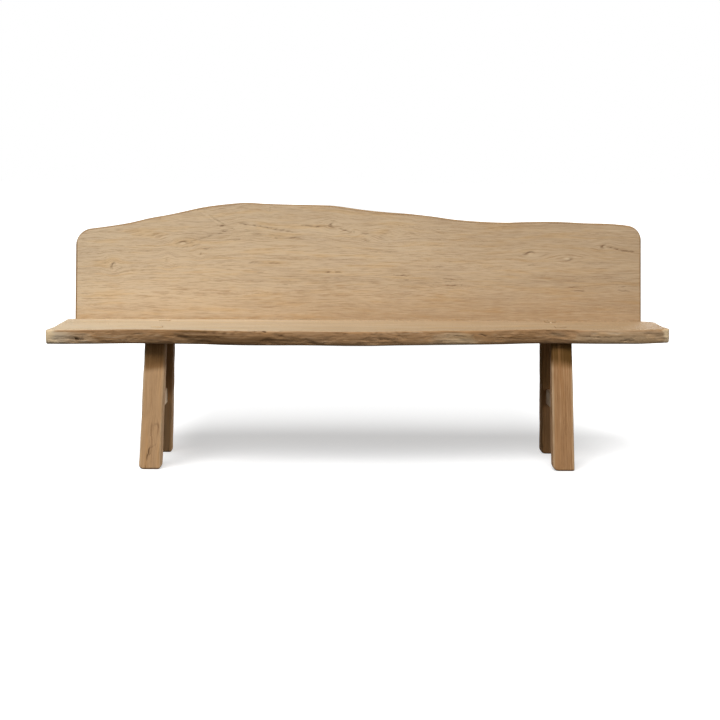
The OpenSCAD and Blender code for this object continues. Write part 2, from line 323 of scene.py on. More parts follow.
@dataclass(frozen=True)
class Finish:
    """What all finishes share: a material made once, and the shader that it ends in."""

    name: str

    def material(self) -> bpy.types.Material:
        """The finish as a Blender material, made on its first use."""
        found = bpy.data.materials.get(self.name)
        if found is None:
            found = bpy.data.materials.new(self.name)
            found.use_nodes = True
            graph = Graph(found.node_tree)
            shader = graph.add("ShaderNodeBsdfPrincipled", None, self.sockets(graph))
            graph.node("ShaderNodeOutputMaterial", None, {"Surface": shader})
        return found

    def sockets(self, graph: Graph) -> dict[str, Value]:
        """The values and links of the shader's sockets."""
        raise NotImplementedError

    @staticmethod
    def place(graph: Graph) -> Link:
        """Places on the piece itself."""
        return graph.add("ShaderNodeTexCoord", None, None, "Object")


@dataclass(frozen=True)
class Wood(Finish):
    """Dry, sanded wood, read from the attributes grain, marks and faces that each piece carries.

    Attributes:
        pale: The light wood; tan is the wood between, and brown the grain lines and pores.
        crack: Open cracks.
        bark: The dark live edge of the seat, and the painted shade on the legs and along the board's
        arrises; flesh is the wood where these thin out.
        silver: Bleached wood.
        end: Sawn ends.
        band: How strong the broad lines are; streak, dash and fine are for ever narrower ones.
        pore: How dark the open pores are.
        calm: How much of the lines is left away from the bark.
        cap: How far the lines may darken or lighten the wood.
        fade: How much more the lines show where the wood is lighter.
        patchy: How uneven the bark and the painted shade are.
        raw: How soon the wood turns to its flesh colour towards the bark.
        matt: How rough the surface is.
        warm: A tint for some patches; cool is for others.
    """

    pale: Colour = (0.67, 0.53, 0.36)
    tan: Colour = (0.38, 0.25, 0.135)
    brown: Colour = (0.22, 0.125, 0.06)
    crack: Colour = (0.10, 0.05, 0.02)
    bark: Colour = (0.165, 0.085, 0.032)
    silver: Colour = (0.84, 0.66, 0.435)
    end: Colour = (0.50, 0.39, 0.26)
    flesh: Colour = (0.46, 0.265, 0.128)
    band: float = 0.3
    streak: float = 0.7
    dash: float = 1.1
    fine: float = 0.9
    pore: float = 0.3
    calm: float = 1.0
    cap: float = 1.0
    fade: float = 0.6
    patchy: float = 1.0
    raw: float = 8.0
    bump_depth: float = 0.0008
    matt: float = 0.68
    warm: Colour = (1.0, 0.945, 0.85)
    cool: Colour = (0.955, 0.96, 0.985)

    def sockets(self, graph: Graph) -> dict[str, Value]:
        """Grain, pores, knots, cracks, bark, painted shade and end grain."""
        grain = graph.add("ShaderNodeAttribute", {"attribute_name": "grain"}, None, "Vector")
        marks = self._split(graph, "marks")
        faces = self._split(graph, "faces")
        broad = graph.noise(grain, (0.9, 6.0, 6.0), 2.0)
        patch = graph.noise(grain, (3.2, 22.0, 22.0), 3.0, 0.6)
        band = graph.noise(grain, (1.5, 75.0, 75.0), 3.0, 0.62)
        streak = graph.noise(grain, (5.0, 260.0, 260.0), 3.0, 0.6)
        dash = graph.noise(grain, (12.0, 380.0, 380.0), 2.0, 0.6)
        fibre = graph.noise(grain, (24.0, 560.0, 560.0), 2.0, 0.6)
        tint = graph.noise(grain, (5.0, 42.0, 42.0), 3.0, 0.6)
        pore = self._pores(graph, grain, band)
        end = faces[0]
        lengthwise = 1.0 - end

        tone = 0.5 + (broad - 0.5) * 0.6 + (patch - 0.5) * 0.4 + faces[2]
        colour = graph.mix(self.tan, self.pale, tone.ramp(0.0, 1.0))
        # The third part of marks is the bark on the seat's live edge, and painted shade on the legs and
        # along the board's arrises.
        colour = graph.mix(colour, self.flesh, (marks[2] * self.raw).ramp(0.0, 1.0) * lengthwise)
        colour = graph.mix(colour, self.warm, tint.ramp(0.5, 0.66), "MULTIPLY")
        colour = graph.mix(colour, self.cool, tint.ramp(0.5, 0.34), "MULTIPLY")
        lines = (band - 0.5) * self.band + (streak - 0.5) * self.streak
        lines = lines + (dash - 0.5) * self.dash + (fibre - 0.5) * self.fine
        lines = lines * (self.calm + (marks[2] * 8.0).ramp(0.0, 1.0) * (1.0 - self.calm))
        lines = lines * (0.97 + faces[2] * self.fade)
        darker = lines.ramp(0.0, 0.5 * self.cap) * self.cap
        paler = lines.ramp(0.0, -0.5 * self.cap) * self.cap
        colour = graph.mix(colour, self.brown, darker * lengthwise)
        colour = graph.mix(colour, self.pale, paler * (0.8 - marks[2] * 0.5) * lengthwise)
        colour = graph.mix(colour, self.brown, pore * self.pore * lengthwise)
        colour = graph.mix(colour, self._end_grain(graph), end)
        rough = 0.66 + ((streak - 0.5) * 0.9 + (patch - 0.5) * 1.7) * self.patchy
        colour = graph.mix(colour, self.silver, faces[1] * (0.85 + (dash - 0.5) * 0.35))
        stain = marks[2] * rough.ramp(0.25, 0.95)
        colour = graph.mix(colour, self.bark, stain)
        colour = graph.mix(colour, self.pale, marks[1])
        broken = marks[0] * (0.5 + marks[0] * 0.5 + (1.0 - marks[0]) * dash.ramp(0.5, 0.64))
        colour = graph.mix(colour, self.crack, broken)

        height = fibre * 0.25 + streak * 0.45 - pore * 0.55 + patch * 0.3 - marks[0] * 0.6
        return {
            "Base Color": colour,
            "Roughness": self.matt + (streak - 0.5) * 0.25 + marks[2] * 0.15 + pore * 0.1,
            "Specular IOR Level": 0.1,
            "Normal": graph.bump(height, self.bump_depth, 0.75),
        }

    @staticmethod
    def _split(graph: Graph, name: str) -> list[Link]:
        """The three parts of one of the piece's own attributes."""
        values = graph.add("ShaderNodeAttribute", {"attribute_name": name}, None, "Vector")
        parts = graph.node("ShaderNodeSeparateXYZ", None, {0: values})
        return [Link(graph, socket) for socket in parts.outputs]

    def _pores(self, graph: Graph, grain: Link, band: Link) -> Link:
        """Short dark dashes where the early wood's open pores are cut along their length."""
        total: Link | None = None
        for along, across in ((24.0, 300.0), (60.0, 760.0)):
            cell = graph.add(
                "ShaderNodeTexVoronoi",
                {"feature": "F1"},
                {"Vector": graph.scaled(grain, (along, across, across)), "Scale": 1.0},
                "Distance",
            )
            dash = cell.ramp(0.34, 0.12)
            total = dash if total is None else total.larger(dash)
        return total * band.ramp(0.42, 0.66)

    def _end_grain(self, graph: Graph) -> Link:
        """Growth rings and rays on a sawn end."""
        place = self.place(graph)
        rings = graph.noise(place, (60.0, 60.0, 420.0), 2.0)
        specks = graph.noise(place, (900.0, 900.0, 900.0), 1.0)
        colour = graph.mix(self.end, self.brown, rings.ramp(0.48, 0.75) * 0.25)
        return graph.mix(colour, self.crack, specks.ramp(0.58, 0.8) * 0.12)


@dataclass(frozen=True)
class PlainWood(Finish):
    """Small turned or riven parts: fine grain along one axis, darker towards their cut ends."""

    base: Colour = (0.42, 0.29, 0.17)
    dark: Colour = (0.17, 0.095, 0.045)
    waves: Colour = (300.0, 300.0, 300.0)

    def sockets(self, graph: Graph) -> dict[str, Value]:
        """Streaks and specks."""
        place = self.place(graph)
        streak = graph.noise(place, self.waves, 3.0, 0.6)
        speck = graph.noise(place, (1400.0, 1400.0, 1400.0), 1.0)
        colour = graph.mix(self.base, self.dark, streak.ramp(0.35, 0.8) * 0.7)
        colour = graph.mix(colour, self.dark, speck.ramp(0.55, 0.8) * 0.4)
        return {
            "Base Color": colour,
            "Roughness": 0.6 + streak * 0.15,
            "Specular IOR Level": 0.3,
            "Normal": graph.bump(streak + speck * 0.5, 0.0003, 0.6),
        }


@dataclass(frozen=True)
class PaintedSteel(Finish):
    """Matt black paint on hot-rolled bar, with fine orange peel, dust and rubbed spots."""

    paint: Colour = (0.028, 0.028, 0.026)
    dust: Colour = (0.11, 0.10, 0.085)
    bare: Colour = (0.32, 0.30, 0.27)

    def sockets(self, graph: Graph) -> dict[str, Value]:
        """Paint, dust and rubbed spots."""
        place = self.place(graph)
        peel = graph.noise(place, (900.0, 900.0, 900.0), 2.0)
        dust = graph.noise(place, (34.0, 34.0, 34.0), 4.0, 0.65)
        rub = graph.noise(place, (120.0, 45.0, 45.0), 4.0, 0.7).ramp(0.66, 0.74)
        colour = graph.mix(self.paint, self.dust, dust.ramp(0.42, 0.8) * 0.6)
        return {
            "Base Color": graph.mix(colour, self.bare, rub * 0.6),
            "Metallic": rub * 0.8,
            "Roughness": 0.44 + dust * 0.25,
            "Normal": graph.bump(peel, 0.0002, 0.5),
        }


@dataclass(frozen=True)
class ZincPlate(Finish):
    """Zinc-plated steel, slightly yellowed, brushed and dulled."""

    bright: Colour = (0.66, 0.63, 0.56)
    dull: Colour = (0.40, 0.37, 0.31)

    def sockets(self, graph: Graph) -> dict[str, Value]:
        """Bright and dull patches with fine scratches."""
        place = self.place(graph)
        cloud = graph.noise(place, (260.0, 260.0, 260.0), 3.0)
        scratch = graph.noise(place, (300.0, 3000.0, 900.0), 2.0)
        return {
            "Base Color": graph.mix(self.bright, self.dull, cloud.ramp(0.4, 0.7)),
            "Metallic": 1.0,
            "Roughness": 0.3 + cloud * 0.2,
            "Normal": graph.bump(scratch, 0.0001, 0.4),
        }


@dataclass(frozen=True)
class PaleFloor(Finish):
    """Studio floor: it keeps the bench's shadow, and shows white to the camera elsewhere."""

    colour: Colour = (0.13, 0.13, 0.13)
    seen: Colour = (0.66, 0.66, 0.66)
    lift: float = 0.49
    side_lift: float = 0.93
    fade_left: tuple[float, float] = (-0.56, -0.84)
    fade_right: tuple[float, float] = (0.58, 1.12)

    def sockets(self, graph: Graph) -> dict[str, Value]:
        """A lift of the colour for rays that come from the camera, straight or by way of metal.

        The lift is stronger to the sides of the bench, where its shadow fades out.
        """
        rays = graph.node("ShaderNodeLightPath")
        camera, gloss, through = (
            Link(graph, rays.outputs[name])
            for name in ("Is Camera Ray", "Is Glossy Ray", "Is Transmission Ray")
        )
        shown = camera.larger(gloss).larger(through)
        parts = graph.node("ShaderNodeSeparateXYZ", None, {0: self.place(graph)})
        along = Link(graph, parts.outputs[0])
        aside = along.ramp(*self.fade_right).larger(along.ramp(*self.fade_left))
        lift = graph.mix((self.lift,) * 3, (self.side_lift,) * 3, aside)
        return {
            "Base Color": graph.mix(self.colour, self.seen, shown),
            "Roughness": 1.0,
            "Specular IOR Level": 0.0,
            "Emission Color": graph.mix((0.0, 0.0, 0.0), lift, shown),
            "Emission Strength": 1.0,
        }


# Grain, knots and cracks


@dataclass(frozen=True)
class Knot:
    """A knot in a face.

    Attributes:
        at: Its middle, along and across the grain.
        size: Half its length and half its width.
        push: How far it parts the grain, as a share of its own size.
        dark: How dark its rim is.
        pale: How pale its eye is.
        facing: The side of its rim that is darkest, in degrees, or None for a whole ring.
        depth: How deep the rim is worn.
    """

    at: tuple[float, float]
    size: tuple[float, float]
    push: float = 0.9
    dark: float = 0.5
    pale: float = 0.2
    facing: float | None = None
    depth: float = 0.5 * MM


@dataclass(frozen=True)
class Scar:
    """A crack, a branch line or a streak in a face.

    Attributes:
        line: Its points, along and across the grain.
        width: Half its width.
        depth: How deep it is open.
        dark: How dark it is.
        pale: How pale it is.
        seed: Chooses how it breaks up along its length.
    """

    line: Pairs
    width: float = 1.6 * MM
    depth: float = 0.0
    dark: float = 0.6
    pale: float = 0.0
    seed: int = 1


@dataclass(frozen=True)
class Figure:
    """The knots and scars of one face, in distances along and across its grain."""

    knots: tuple[Knot, ...] = ()
    scars: tuple[Scar, ...] = ()

    def across(self, along: Array, across: Array) -> Array:
        """The grain line that each place lies on, parted round the knots."""
        line = across.copy()
        for knot in self.knots:
            ds, dt = along - knot.at[0], across - knot.at[1]
            reach = np.exp(-((ds / (4.5 * knot.size[0])) ** 2) - (dt / (4.0 * knot.size[1])) ** 2)
            line -= knot.push * dt * reach
        return line

    def marks(self, along: Array, across: Array) -> tuple[Array, Array, Array]:
        """How dark, how pale and how deep each place is.

        Args:
            along: Distance along the grain.
            across: Distance across it.

        Returns:
            Shares of the crack's colour and of the pale colour, and a depth.
        """
        dark, pale, deep = (np.zeros(along.shape) for _ in range(3))
        for knot in self.knots:
            ds, dt = (along - knot.at[0]) / knot.size[0], (across - knot.at[1]) / knot.size[1]
            ring = np.hypot(ds, dt) * (1.0 + 0.14 * ripple(points_of(ds, dt) * 0.45, 91, 8))
            rim = bell(ring, 1.0, 0.38)
            if knot.facing is not None:
                turn = np.arctan2(dt, ds) - math.radians(knot.facing)
                rim = rim * (0.5 + 0.5 * np.cos(turn)) ** 1.5
            dark = np.maximum(dark, knot.dark * rim)
            pale = np.maximum(pale, knot.pale * bell(ring, 0.0, 0.75))
            deep = np.maximum(deep, knot.depth * rim)
        for scar in self.scars:
            ends = np.array(scar.line)
            steps = np.linspace(0.0, 1.0, len(ends))
            nearest = np.full(along.shape, 1.0)
            run = np.zeros(along.shape)
            for i in range(len(ends) - 1):
                part = ends[i + 1] - ends[i]
                t = (along - ends[i][0]) * part[0] + (across - ends[i][1]) * part[1]
                t = np.clip(t / (part @ part), 0.0, 1.0)
                waver = 1.2 * MM * ripple((ends[i][0] + t * part[0])[..., None] / 0.016, scar.seed + 40, 6)
                gap = np.hypot(along - ends[i][0] - t * part[0], across - ends[i][1] - t * part[1] - waver)
                run = np.where(gap < nearest, steps[i] + t * (steps[i + 1] - steps[i]), run)
                nearest = np.minimum(nearest, gap)
            length = np.hypot(*(ends[-1] - ends[0]))
            breaks = ripple(run[..., None] * length / 0.02, scar.seed, 8)
            taper = smooth(run, -0.02, 0.12) * smooth(run, 1.02, 0.8)
            strength = bell(nearest, 0.0, scar.width) * taper * np.clip(0.75 + 0.5 * breaks, 0.25, 1.1)
            dark = np.maximum(dark, scar.dark * strength)
            pale = np.maximum(pale, scar.pale * strength)
            deep = np.maximum(deep, scar.depth * strength)
        return np.clip(dark, 0, 1), np.clip(pale, 0, 1), deep


def scars(first: int, *rows: tuple[float, float, float, float, Pairs]) -> tuple[Scar, ...]:
    """Scars whose seeds follow each other.

    Args:
        first: The first one's seed.
        rows: For each, half its width and its depth in mm, how dark and how pale it is, and its points.

    Returns:
        The scars in order.
    """
    return tuple(
        Scar(line, width * MM, depth * MM, dark, pale, first + i)
        for i, (width, depth, dark, pale, line) in enumerate(rows)
    )


# Meshes


def skin(name: str, rings: Array) -> bpy.types.Object:
    """Closes a skin over a row of sections.

    Args:
        name: The piece's name.
        rings: The sections, each with as many points, in order round it.

    Returns:
        A new object whose faces point outwards.
    """
    count, size = rings.shape[:2]
    i, j = np.meshgrid(np.arange(count - 1), np.arange(size), indexing="ij")
    k = (j + 1) % size
    quads = points_of(i * size + j, (i + 1) * size + j, (i + 1) * size + k, i * size + k)
    faces = quads.reshape(-1, 4).tolist()
    faces.append(list(range(size)))
    faces.append(list(range(count * size - 1, (count - 1) * size - 1, -1)))
    mesh = bpy.data.meshes.new(name)
    mesh.from_pydata(rings.reshape(-1, 3), [], faces)
    shaped = bmesh.new()
    shaped.from_mesh(mesh)
    if shaped.calc_volume(signed=True) < 0.0:
        bmesh.ops.reverse_faces(shaped, faces=shaped.faces)
        shaped.to_mesh(mesh)
    shaped.free()
    mesh.update()
    piece = bpy.data.objects.new(name, mesh)
    bpy.context.scene.collection.objects.link(piece)
    return piece


def cut(piece: bpy.types.Object, *cutters: bpy.types.Object) -> None:
    """Takes solids out of a piece, and removes them.

    Known fault: this solver leaves parts of some cutters in the seat and in the right rear leg.
    The MANIFOLD solver doesn't.

    Args:
        piece: The piece that is cut.
        cutters: The closed solids that cut it.
    """
    for cutter in cutters:
        tool = piece.modifiers.new("cut", "BOOLEAN")
        tool.operation = "DIFFERENCE"
        tool.solver = "EXACT"
        tool.object = cutter
    settle_modifiers(piece)
    for cutter in cutters:
        bpy.data.meshes.remove(cutter.data)


def settle_modifiers(piece: bpy.types.Object) -> None:
    """Makes what a piece's modifiers show its own plain mesh, and removes them."""
    bpy.context.view_layer.update()
    shown = piece.evaluated_get(bpy.context.evaluated_depsgraph_get())
    mesh = bpy.data.meshes.new_from_object(shown)
    old = piece.data
    piece.modifiers.clear()
    piece.data = mesh
    bpy.data.meshes.remove(old)
    mesh.name = piece.name


def places(piece: bpy.types.Object) -> Array:
    """The piece's points."""
    flat = np.empty(len(piece.data.vertices) * 3, np.float32)
    piece.data.vertices.foreach_get("co", flat)
    return flat.reshape(-1, 3).astype(float)


def note(piece: bpy.types.Object, name: str, *values: Array | float) -> None:
    """Writes three numbers a point as one of the piece's own attributes.

    Args:
        piece: The piece.
        name: The attribute's name.
        values: The three numbers, each as one for all points or one for each.
    """
    layer = piece.data.attributes.new(name, "FLOAT_VECTOR", "POINT")
    count = len(piece.data.vertices)
    table = points_of(*(np.broadcast_to(v, count) for v in values))
    layer.data.foreach_set("vector", table.astype(np.float32).ravel())


def dress(piece: bpy.types.Object, finish: Finish, slot: str, *nodes: str) -> None:
    """Gives a finished piece its material and its place in the table.

    Args:
        piece: The piece.
        finish: Its finish.
        slot: The record's material slot; not used.
        nodes: The CAD nodes that it stands for.
    """
    piece.data.materials.clear()
    piece.data.materials.append(finish.material())
    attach(piece, BODY)
    if nodes:
        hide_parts(*nodes)
    log.info("%s: %d faces, stands for %s", piece.name, len(piece.data.polygons), ", ".join(nodes))


def shade(piece: bpy.types.Object, angle: float = 32.0) -> None:
    """Smooth faces, with edges kept crisp past an angle in degrees."""
    piece.data.shade_smooth()
    piece.data.set_sharp_from_angle(angle=math.radians(angle))


def along_slab(half: float, left_r: float, right_r: float, steps: int) -> Array:
    """Places along a slab: close together round its corners, even between them.

    Args:
        half: Half the slab's length.
        left_r: Radius of its largest corner on the left.
        right_r: Radius of its largest corner on the right.
        steps: How many spans lie between the corners.

    Returns:
        The places in order.
    """
    turn = 1.0 - np.cos(np.radians(np.arange(0.0, 90.0, 5.0)))
    left, right = left_r * turn - half, half - right_r * turn[::-1]
    between = np.linspace(left_r - half, half - right_r, steps + 1)
    return np.concatenate([left, between, right])


def quarter(count: int) -> tuple[Array, Array]:
    """A quarter turn in even steps, without its ends: how far round, as sine and one less cosine."""
    angle = np.linspace(0.0, math.pi / 2.0, count + 2)[1:-1]
    return np.sin(angle), 1.0 - np.cos(angle)


# Seat and back


@dataclass(frozen=True)
class Layout:
    """Places that several pieces share.

    Attributes:
        shift: How far the middle of the legs and the back lies to the right of the seat's middle.
        foot_gap: How far the board's foot stops short of the level of the seat's underside.
    """

    seat_top: float = 0.452
    seat_under: float = 0.405
    front_line: float = -0.1969
    rear_edge: float = 0.1666
    shift: float = -9 * MM
    board_t: float = 40 * MM
    foot_gap: float = 1 * MM
    lean: float = math.radians(8.0)

    @property
    def board_below(self) -> float:
        """How far the board reaches below the level of the seat's rear top edge, down its slope."""
        seat_t = self.seat_top - self.seat_under
        return (seat_t - self.foot_gap - self.board_t * math.sin(self.lean)) / math.cos(self.lean)

    @property
    def heel_y(self) -> float:
        """Where the back of the board meets the level of the seat's underside."""
        seat_t = self.seat_top - self.seat_under
        rise = self.board_t * math.sin(self.lean) - seat_t
        return self.rear_edge + self.board_t * math.cos(self.lean) + rise * math.tan(self.lean)

    def on_board(self, x: Array, w: Array, u: Array) -> Array:
        """Places on the back board.

        Args:
            x: Along the board from its middle.
            w: Through the board from its front face.
            u: Up the board from the level of the seat's rear top edge.

        Returns:
            The points in the bench's frame.
        """
        sine, cosine = math.sin(self.lean), math.cos(self.lean)
        y = self.rear_edge + w * cosine + u * sine
        z = self.seat_top - w * sine + u * cosine
        return points_of(x + self.shift, y, z)

    def from_board(self, points: Array) -> tuple[Array, Array, Array]:
        """The reverse of on_board: how far along, through and up each point lies."""
        sine, cosine = math.sin(self.lean), math.cos(self.lean)
        y, z = points[..., 1] - self.rear_edge, points[..., 2] - self.seat_top
        return points[..., 0] - self.shift, y * cosine - z * sine, y * sine + z * cosine


@dataclass
class Seat:
    """The seat: one slab with a live front edge, and a rear edge bevelled to the board's lean.

    Attributes:
        swell: How far the live edge swells forward where it is fullest.
        corners: Radii of the front left, front right, rear left and rear right corners.
        flares: How far the left and the right end draw in behind the front corners.
        live_edge: Places along the edge and how full it is there, both as shares.
        edge_section: Depths below the top and how far the edge is set back there, in mm.
        hollows: Places along the edge and how far it is undercut there, in mm.
        stains: Places along the edge and how much bark is left there.
        least_stain: The least that is left of it anywhere.
        bleached: Places along the edge and how much painted light lightens its lower part there, in the
            silver colour.
        follow: How closely the grain follows the live edge; wander is how far it strays by itself.
        lip_bark: How much more bark is left right under the top; low_bark is how much less low down.
        end_silver: How bleached the sawn ends are.
        right_lift: How much lighter the live edge is towards the right end.
        light_fall: How much darker the wood is painted at the right end than in the middle, as a painted
            fall of light.
    """

    layout: Layout
    finish: Wood
    half: float = 1.007
    swell: float = 64 * MM
    corners: tuple[float, float, float, float] = (10 * MM, 10 * MM, 24 * MM, 70 * MM)
    flares: tuple[float, float] = (8.5 * MM, 10.5 * MM)
    flare_run: float = 100 * MM
    end_ease: float = 5 * MM
    follow: float = 0.75
    wander: float = 0.006
    lip_bark: float = 0.22
    low_bark: float = 0.06
    end_silver: float = 0.15
    right_lift: float = 0.22
    light_fall: float = 0.42
    live_edge: Pairs = (
        (-1, 0.59), (-0.94, 0.59), (-0.85, 0.46), (-0.77, 0.2), (-0.71, 0.13), (-0.58, 0.34),
        (-0.5, 0.51), (-0.42, 0.81), (-0.27, 0.9), (-0.19, 0.8), (-0.04, 1), (0.04, 0.94), (0.12, 0.63),
        (0.24, 0.33), (0.38, 0), (0.46, -0.25), (0.54, -0.63), (0.62, -0.76), (0.74, -0.61),
        (0.84, -0.63), (0.9, -0.7), (0.96, -1.11), (1, -1.39),
    )  # fmt: skip
    edge_section: Pairs = (
        (0, 8.5), (0.25, 6), (1, 4.2), (2.6, 2.6), (5.5, 1.5), (10, 0.6), (15, 0.1), (20, 0),
        (28, 0.5), (35, 1.3), (40, 2.6), (43.5, 4.4), (45.7, 6.8), (46.7, 9.2), (47, 11.5),
    )  # fmt: skip
    edge_rows: int = 34
    top_rows: int = 60
    under_rows: int = 20
    steps: int = 540
    hollows: Pairs = (
        (-1, 0), (-0.66, 0), (-0.55, 4), (-0.42, 2), (-0.2, 2), (-0.08, 2), (0.05, 0.5), (0.3, 0),
        (0.5, 0), (0.7, 0), (1, 0),
    )  # fmt: skip
    stains: Pairs = (
        (-1, -0.1), (-0.94, -0.1), (-0.86, 0.1), (-0.8, 0.25), (-0.7, 0.45), (-0.62, 0.72),
        (-0.55, 0.85), (-0.45, 0.88), (-0.35, 0.88), (-0.25, 0.75), (-0.15, 0.5), (-0.05, 0.32),
        (0.05, 0.22), (0.2, 0.17), (0.3, -0.1), (0.4, 0.25), (0.47, 0.52), (0.52, 0.52),
        (0.6, 0.55), (0.66, 0.38), (0.73, -0.1), (1, -0.1),
    )  # fmt: skip
    least_stain: Pairs = (
        (-1, 0), (-0.96, 0.03), (-0.9, 0.08), (0.22, 0.07), (0.33, 0.03), (0.45, 0.07), (0.7, 0.07),
        (0.8, 0.06), (1, 0.06),
    )  # fmt: skip
    bleached: Pairs = (
        (-1, 0), (0.22, 0), (0.29, 0.15), (0.36, 0.15), (0.42, 0), (0.62, 0), (0.76, 0.15),
        (0.94, 0.19), (1, 0.1),
    )  # fmt: skip
    top_figure: Figure = Figure(
        knots=(
            Knot((-0.62, 0.02), (11 * MM, 6 * MM), dark=0.25),
            Knot((0.21, -0.09), (9 * MM, 6 * MM), dark=0.22, facing=200.0),
            Knot((0.58, 0.06), (14 * MM, 7 * MM), dark=0.3, facing=130.0),
        ),
        scars=(
            Scar(((-0.30, 0.055), (-0.2, 0.06), (-0.08, 0.052)), 1.4 * MM, 0.8 * MM, 0.3),
            Scar(((0.79, -0.05), (0.9, -0.045), (1.0, -0.052)), 1.4 * MM, 1.2 * MM, 0.4),
            Scar(((-1.0, 0.03), (-0.93, 0.034), (-0.84, 0.03)), 1.4 * MM, 1.2 * MM, 0.4),
        ),
    )
    edge_figure: Figure = Figure(
        knots=(
            Knot((0.9625, 0.4235), (6 * MM, 5 * MM), dark=0.4, facing=200.0),
            Knot((0.9925, 0.4390), (5 * MM, 6 * MM), dark=0.5, facing=90.0),
            Knot((-0.6500, 0.4330), (16 * MM, 6 * MM), dark=0.25, depth=0.6 * MM, facing=200.0),
            Knot((0.6385, 0.4370), (30 * MM, 7 * MM), dark=0.3, depth=0.8 * MM, facing=80.0),
        ),
        scars=(
            Scar(((-0.925, 0.4165), (-0.8975, 0.4150), (-0.870, 0.4165)), 2.4 * MM, 0, 0, 0.7),
            Scar(((0.056, 0.4275), (0.0745, 0.4247), (0.092, 0.4240)), 3.0 * MM, 2.0 * MM, 1.0),
            Scar(((-0.256, 0.4405), (-0.2475, 0.4395), (-0.239, 0.4400)), 3.0 * MM, 1.2 * MM, 0.8),
            Scar(((0.352, 0.4350), (0.3785, 0.4375), (0.410, 0.4345)), 2.6 * MM, 1.6 * MM, 0.9),
            Scar(((0.270, 0.430), (0.305, 0.434), (0.345, 0.4325)), 1.9 * MM, 1.2 * MM, 0.5),
            Scar(((-0.345, 0.4480), (-0.3205, 0.4505), (-0.296, 0.4480)), 3.0 * MM, 4.0 * MM, 1.0),
            Scar(((-0.405, 0.4490), (-0.3905, 0.4505), (-0.376, 0.4490)), 2.8 * MM, 3.0 * MM, 0.9),
            Scar(((-0.262, 0.4505), (-0.2475, 0.4515), (-0.235, 0.4505)), 1.8 * MM, 1.4 * MM, 0.5),
            Scar(((-0.60, 0.434), (-0.56, 0.440), (-0.50, 0.441)), 2.4 * MM, 1.2 * MM, 0.4),
            Scar(((-0.84, 0.437), (-0.77, 0.433), (-0.70, 0.438)), 2.2 * MM, 0.8 * MM, 0.35),
            Scar(((0.55, 0.446), (0.62, 0.4475), (0.70, 0.445)), 2.6 * MM, 1.4 * MM, 0.4),
            Scar(((0.45, 0.426), (0.52, 0.420), (0.60, 0.424)), 2.6 * MM, 1.0 * MM, 0.35),
        )
        + scars(
            41,
            (4.6, 0, 0.75, 0, ((-0.53, 0.4450), (-0.44, 0.4440), (-0.36, 0.4450), (-0.29, 0.4455))),
            (3.8, 0, 0.5, 0, ((-0.10, 0.4460), (0.02, 0.4455), (0.12, 0.4462), (0.21, 0.4458))),
            (2.8, 0.8, 0.6, 0, ((0.70, 0.4300), (0.78, 0.4270), (0.86, 0.4290))),
            (2.8, 0.6, 0.5, 0, ((0.72, 0.4170), (0.80, 0.4150), (0.90, 0.4170))),
            (2.8, 0, 0, 0.5, ((0.74, 0.4385), (0.80, 0.4400), (0.88, 0.4380))),
        )
        + scars(
            48,
            (4.6, 3.2, 1, 0, ((-0.916, 0.4240), (-0.8975, 0.4215), (-0.884, 0.4222))),
            (3, 0, 0.6, 0, ((-0.80, 0.420), (-0.72, 0.417), (-0.62, 0.421))),
            (2.4, 0, 0.5, 0, ((-0.965, 0.4085), (-0.93, 0.4085), (-0.88, 0.4095))),
        ),
    )

    def front(self, x: Array) -> Array:
        """The fullest line of the front edge."""
        rounded = end_cut(x, self.half, *self.corners[:2])
        return self.layout.front_line + rounded - self.swell * curve(self.live_edge, x / self.half)

    def rear(self, x: Array) -> Array:
        """The rear top edge."""
        return self.layout.rear_edge - end_cut(x, self.half, *self.corners[2:])

    def hollow(self, x: Array) -> Array:
        """How far the lower part of the edge is undercut beyond its usual section."""
        return np.maximum(curve(self.hollows, x), 0.0) * MM

    def draw_in(self, x: Array, into: Array) -> Array:
        """Draws points near the ends in behind the flared front corners.

        Args:
            x: Where the points' section lies.
            into: How far behind the front edge each point lies.

        Returns:
            Where each point lies along the bench.
        """
        far = self.half - np.abs(x)
        flare = np.where(x < 0, self.flares[0], self.flares[1])
        draw = flare * np.maximum(0.0, 1.0 - far / max(self.corners))
        share = np.interp(into, (0.0, self.flare_run / 2, self.flare_run), (0.0, 0.35, 1.0))
        return x - np.sign(x) * draw * share

    def edge(self, x: Array) -> Array:
        """Points of the front edge from the top face round to the underside, for places along it."""
        below, inset = np.array(self.edge_section).T * MM
        run = np.concatenate([[0.0], np.cumsum(np.hypot(np.diff(below), np.diff(inset)))])
        at = np.linspace(0.0, run[-1], self.edge_rows)
        below, inset = np.interp(at, run, below), np.interp(at, run, inset)
        x = x[:, None]
        low = smooth(below, 16 * MM, 46 * MM)
        y = self.front(x) + inset + self.hollow(x) * low
        z = self.layout.seat_top - below + 0.0 * x
        places = points_of(np.broadcast_to(x, z.shape) / 0.09, z / 0.05, 0.0 * z)
        middle = smooth(below, 0.0, 8 * MM) * smooth(below, 47 * MM, 38 * MM)
        worn = roughness(places, 11, 4) * 1.3 * MM * (0.35 + middle) + 1.0 * MM
        ridges = ripple(points_of(x / 0.16 + 0.0 * z, z / 0.011), 29) * 0.4 * MM * middle
        _, _, deep = self.edge_figure.marks(np.broadcast_to(x, z.shape), z)
        y = y + np.maximum(worn + ridges, 0.45 * MM) + deep
        dip = roughness(points_of(x / 0.06 + 0.0 * z, 0.0 * z), 17) * 0.5 * MM
        z = z - np.maximum(dip, 0.0) * smooth(below, 6 * MM, 0.0)
        return points_of(np.broadcast_to(x, z.shape), y, z)

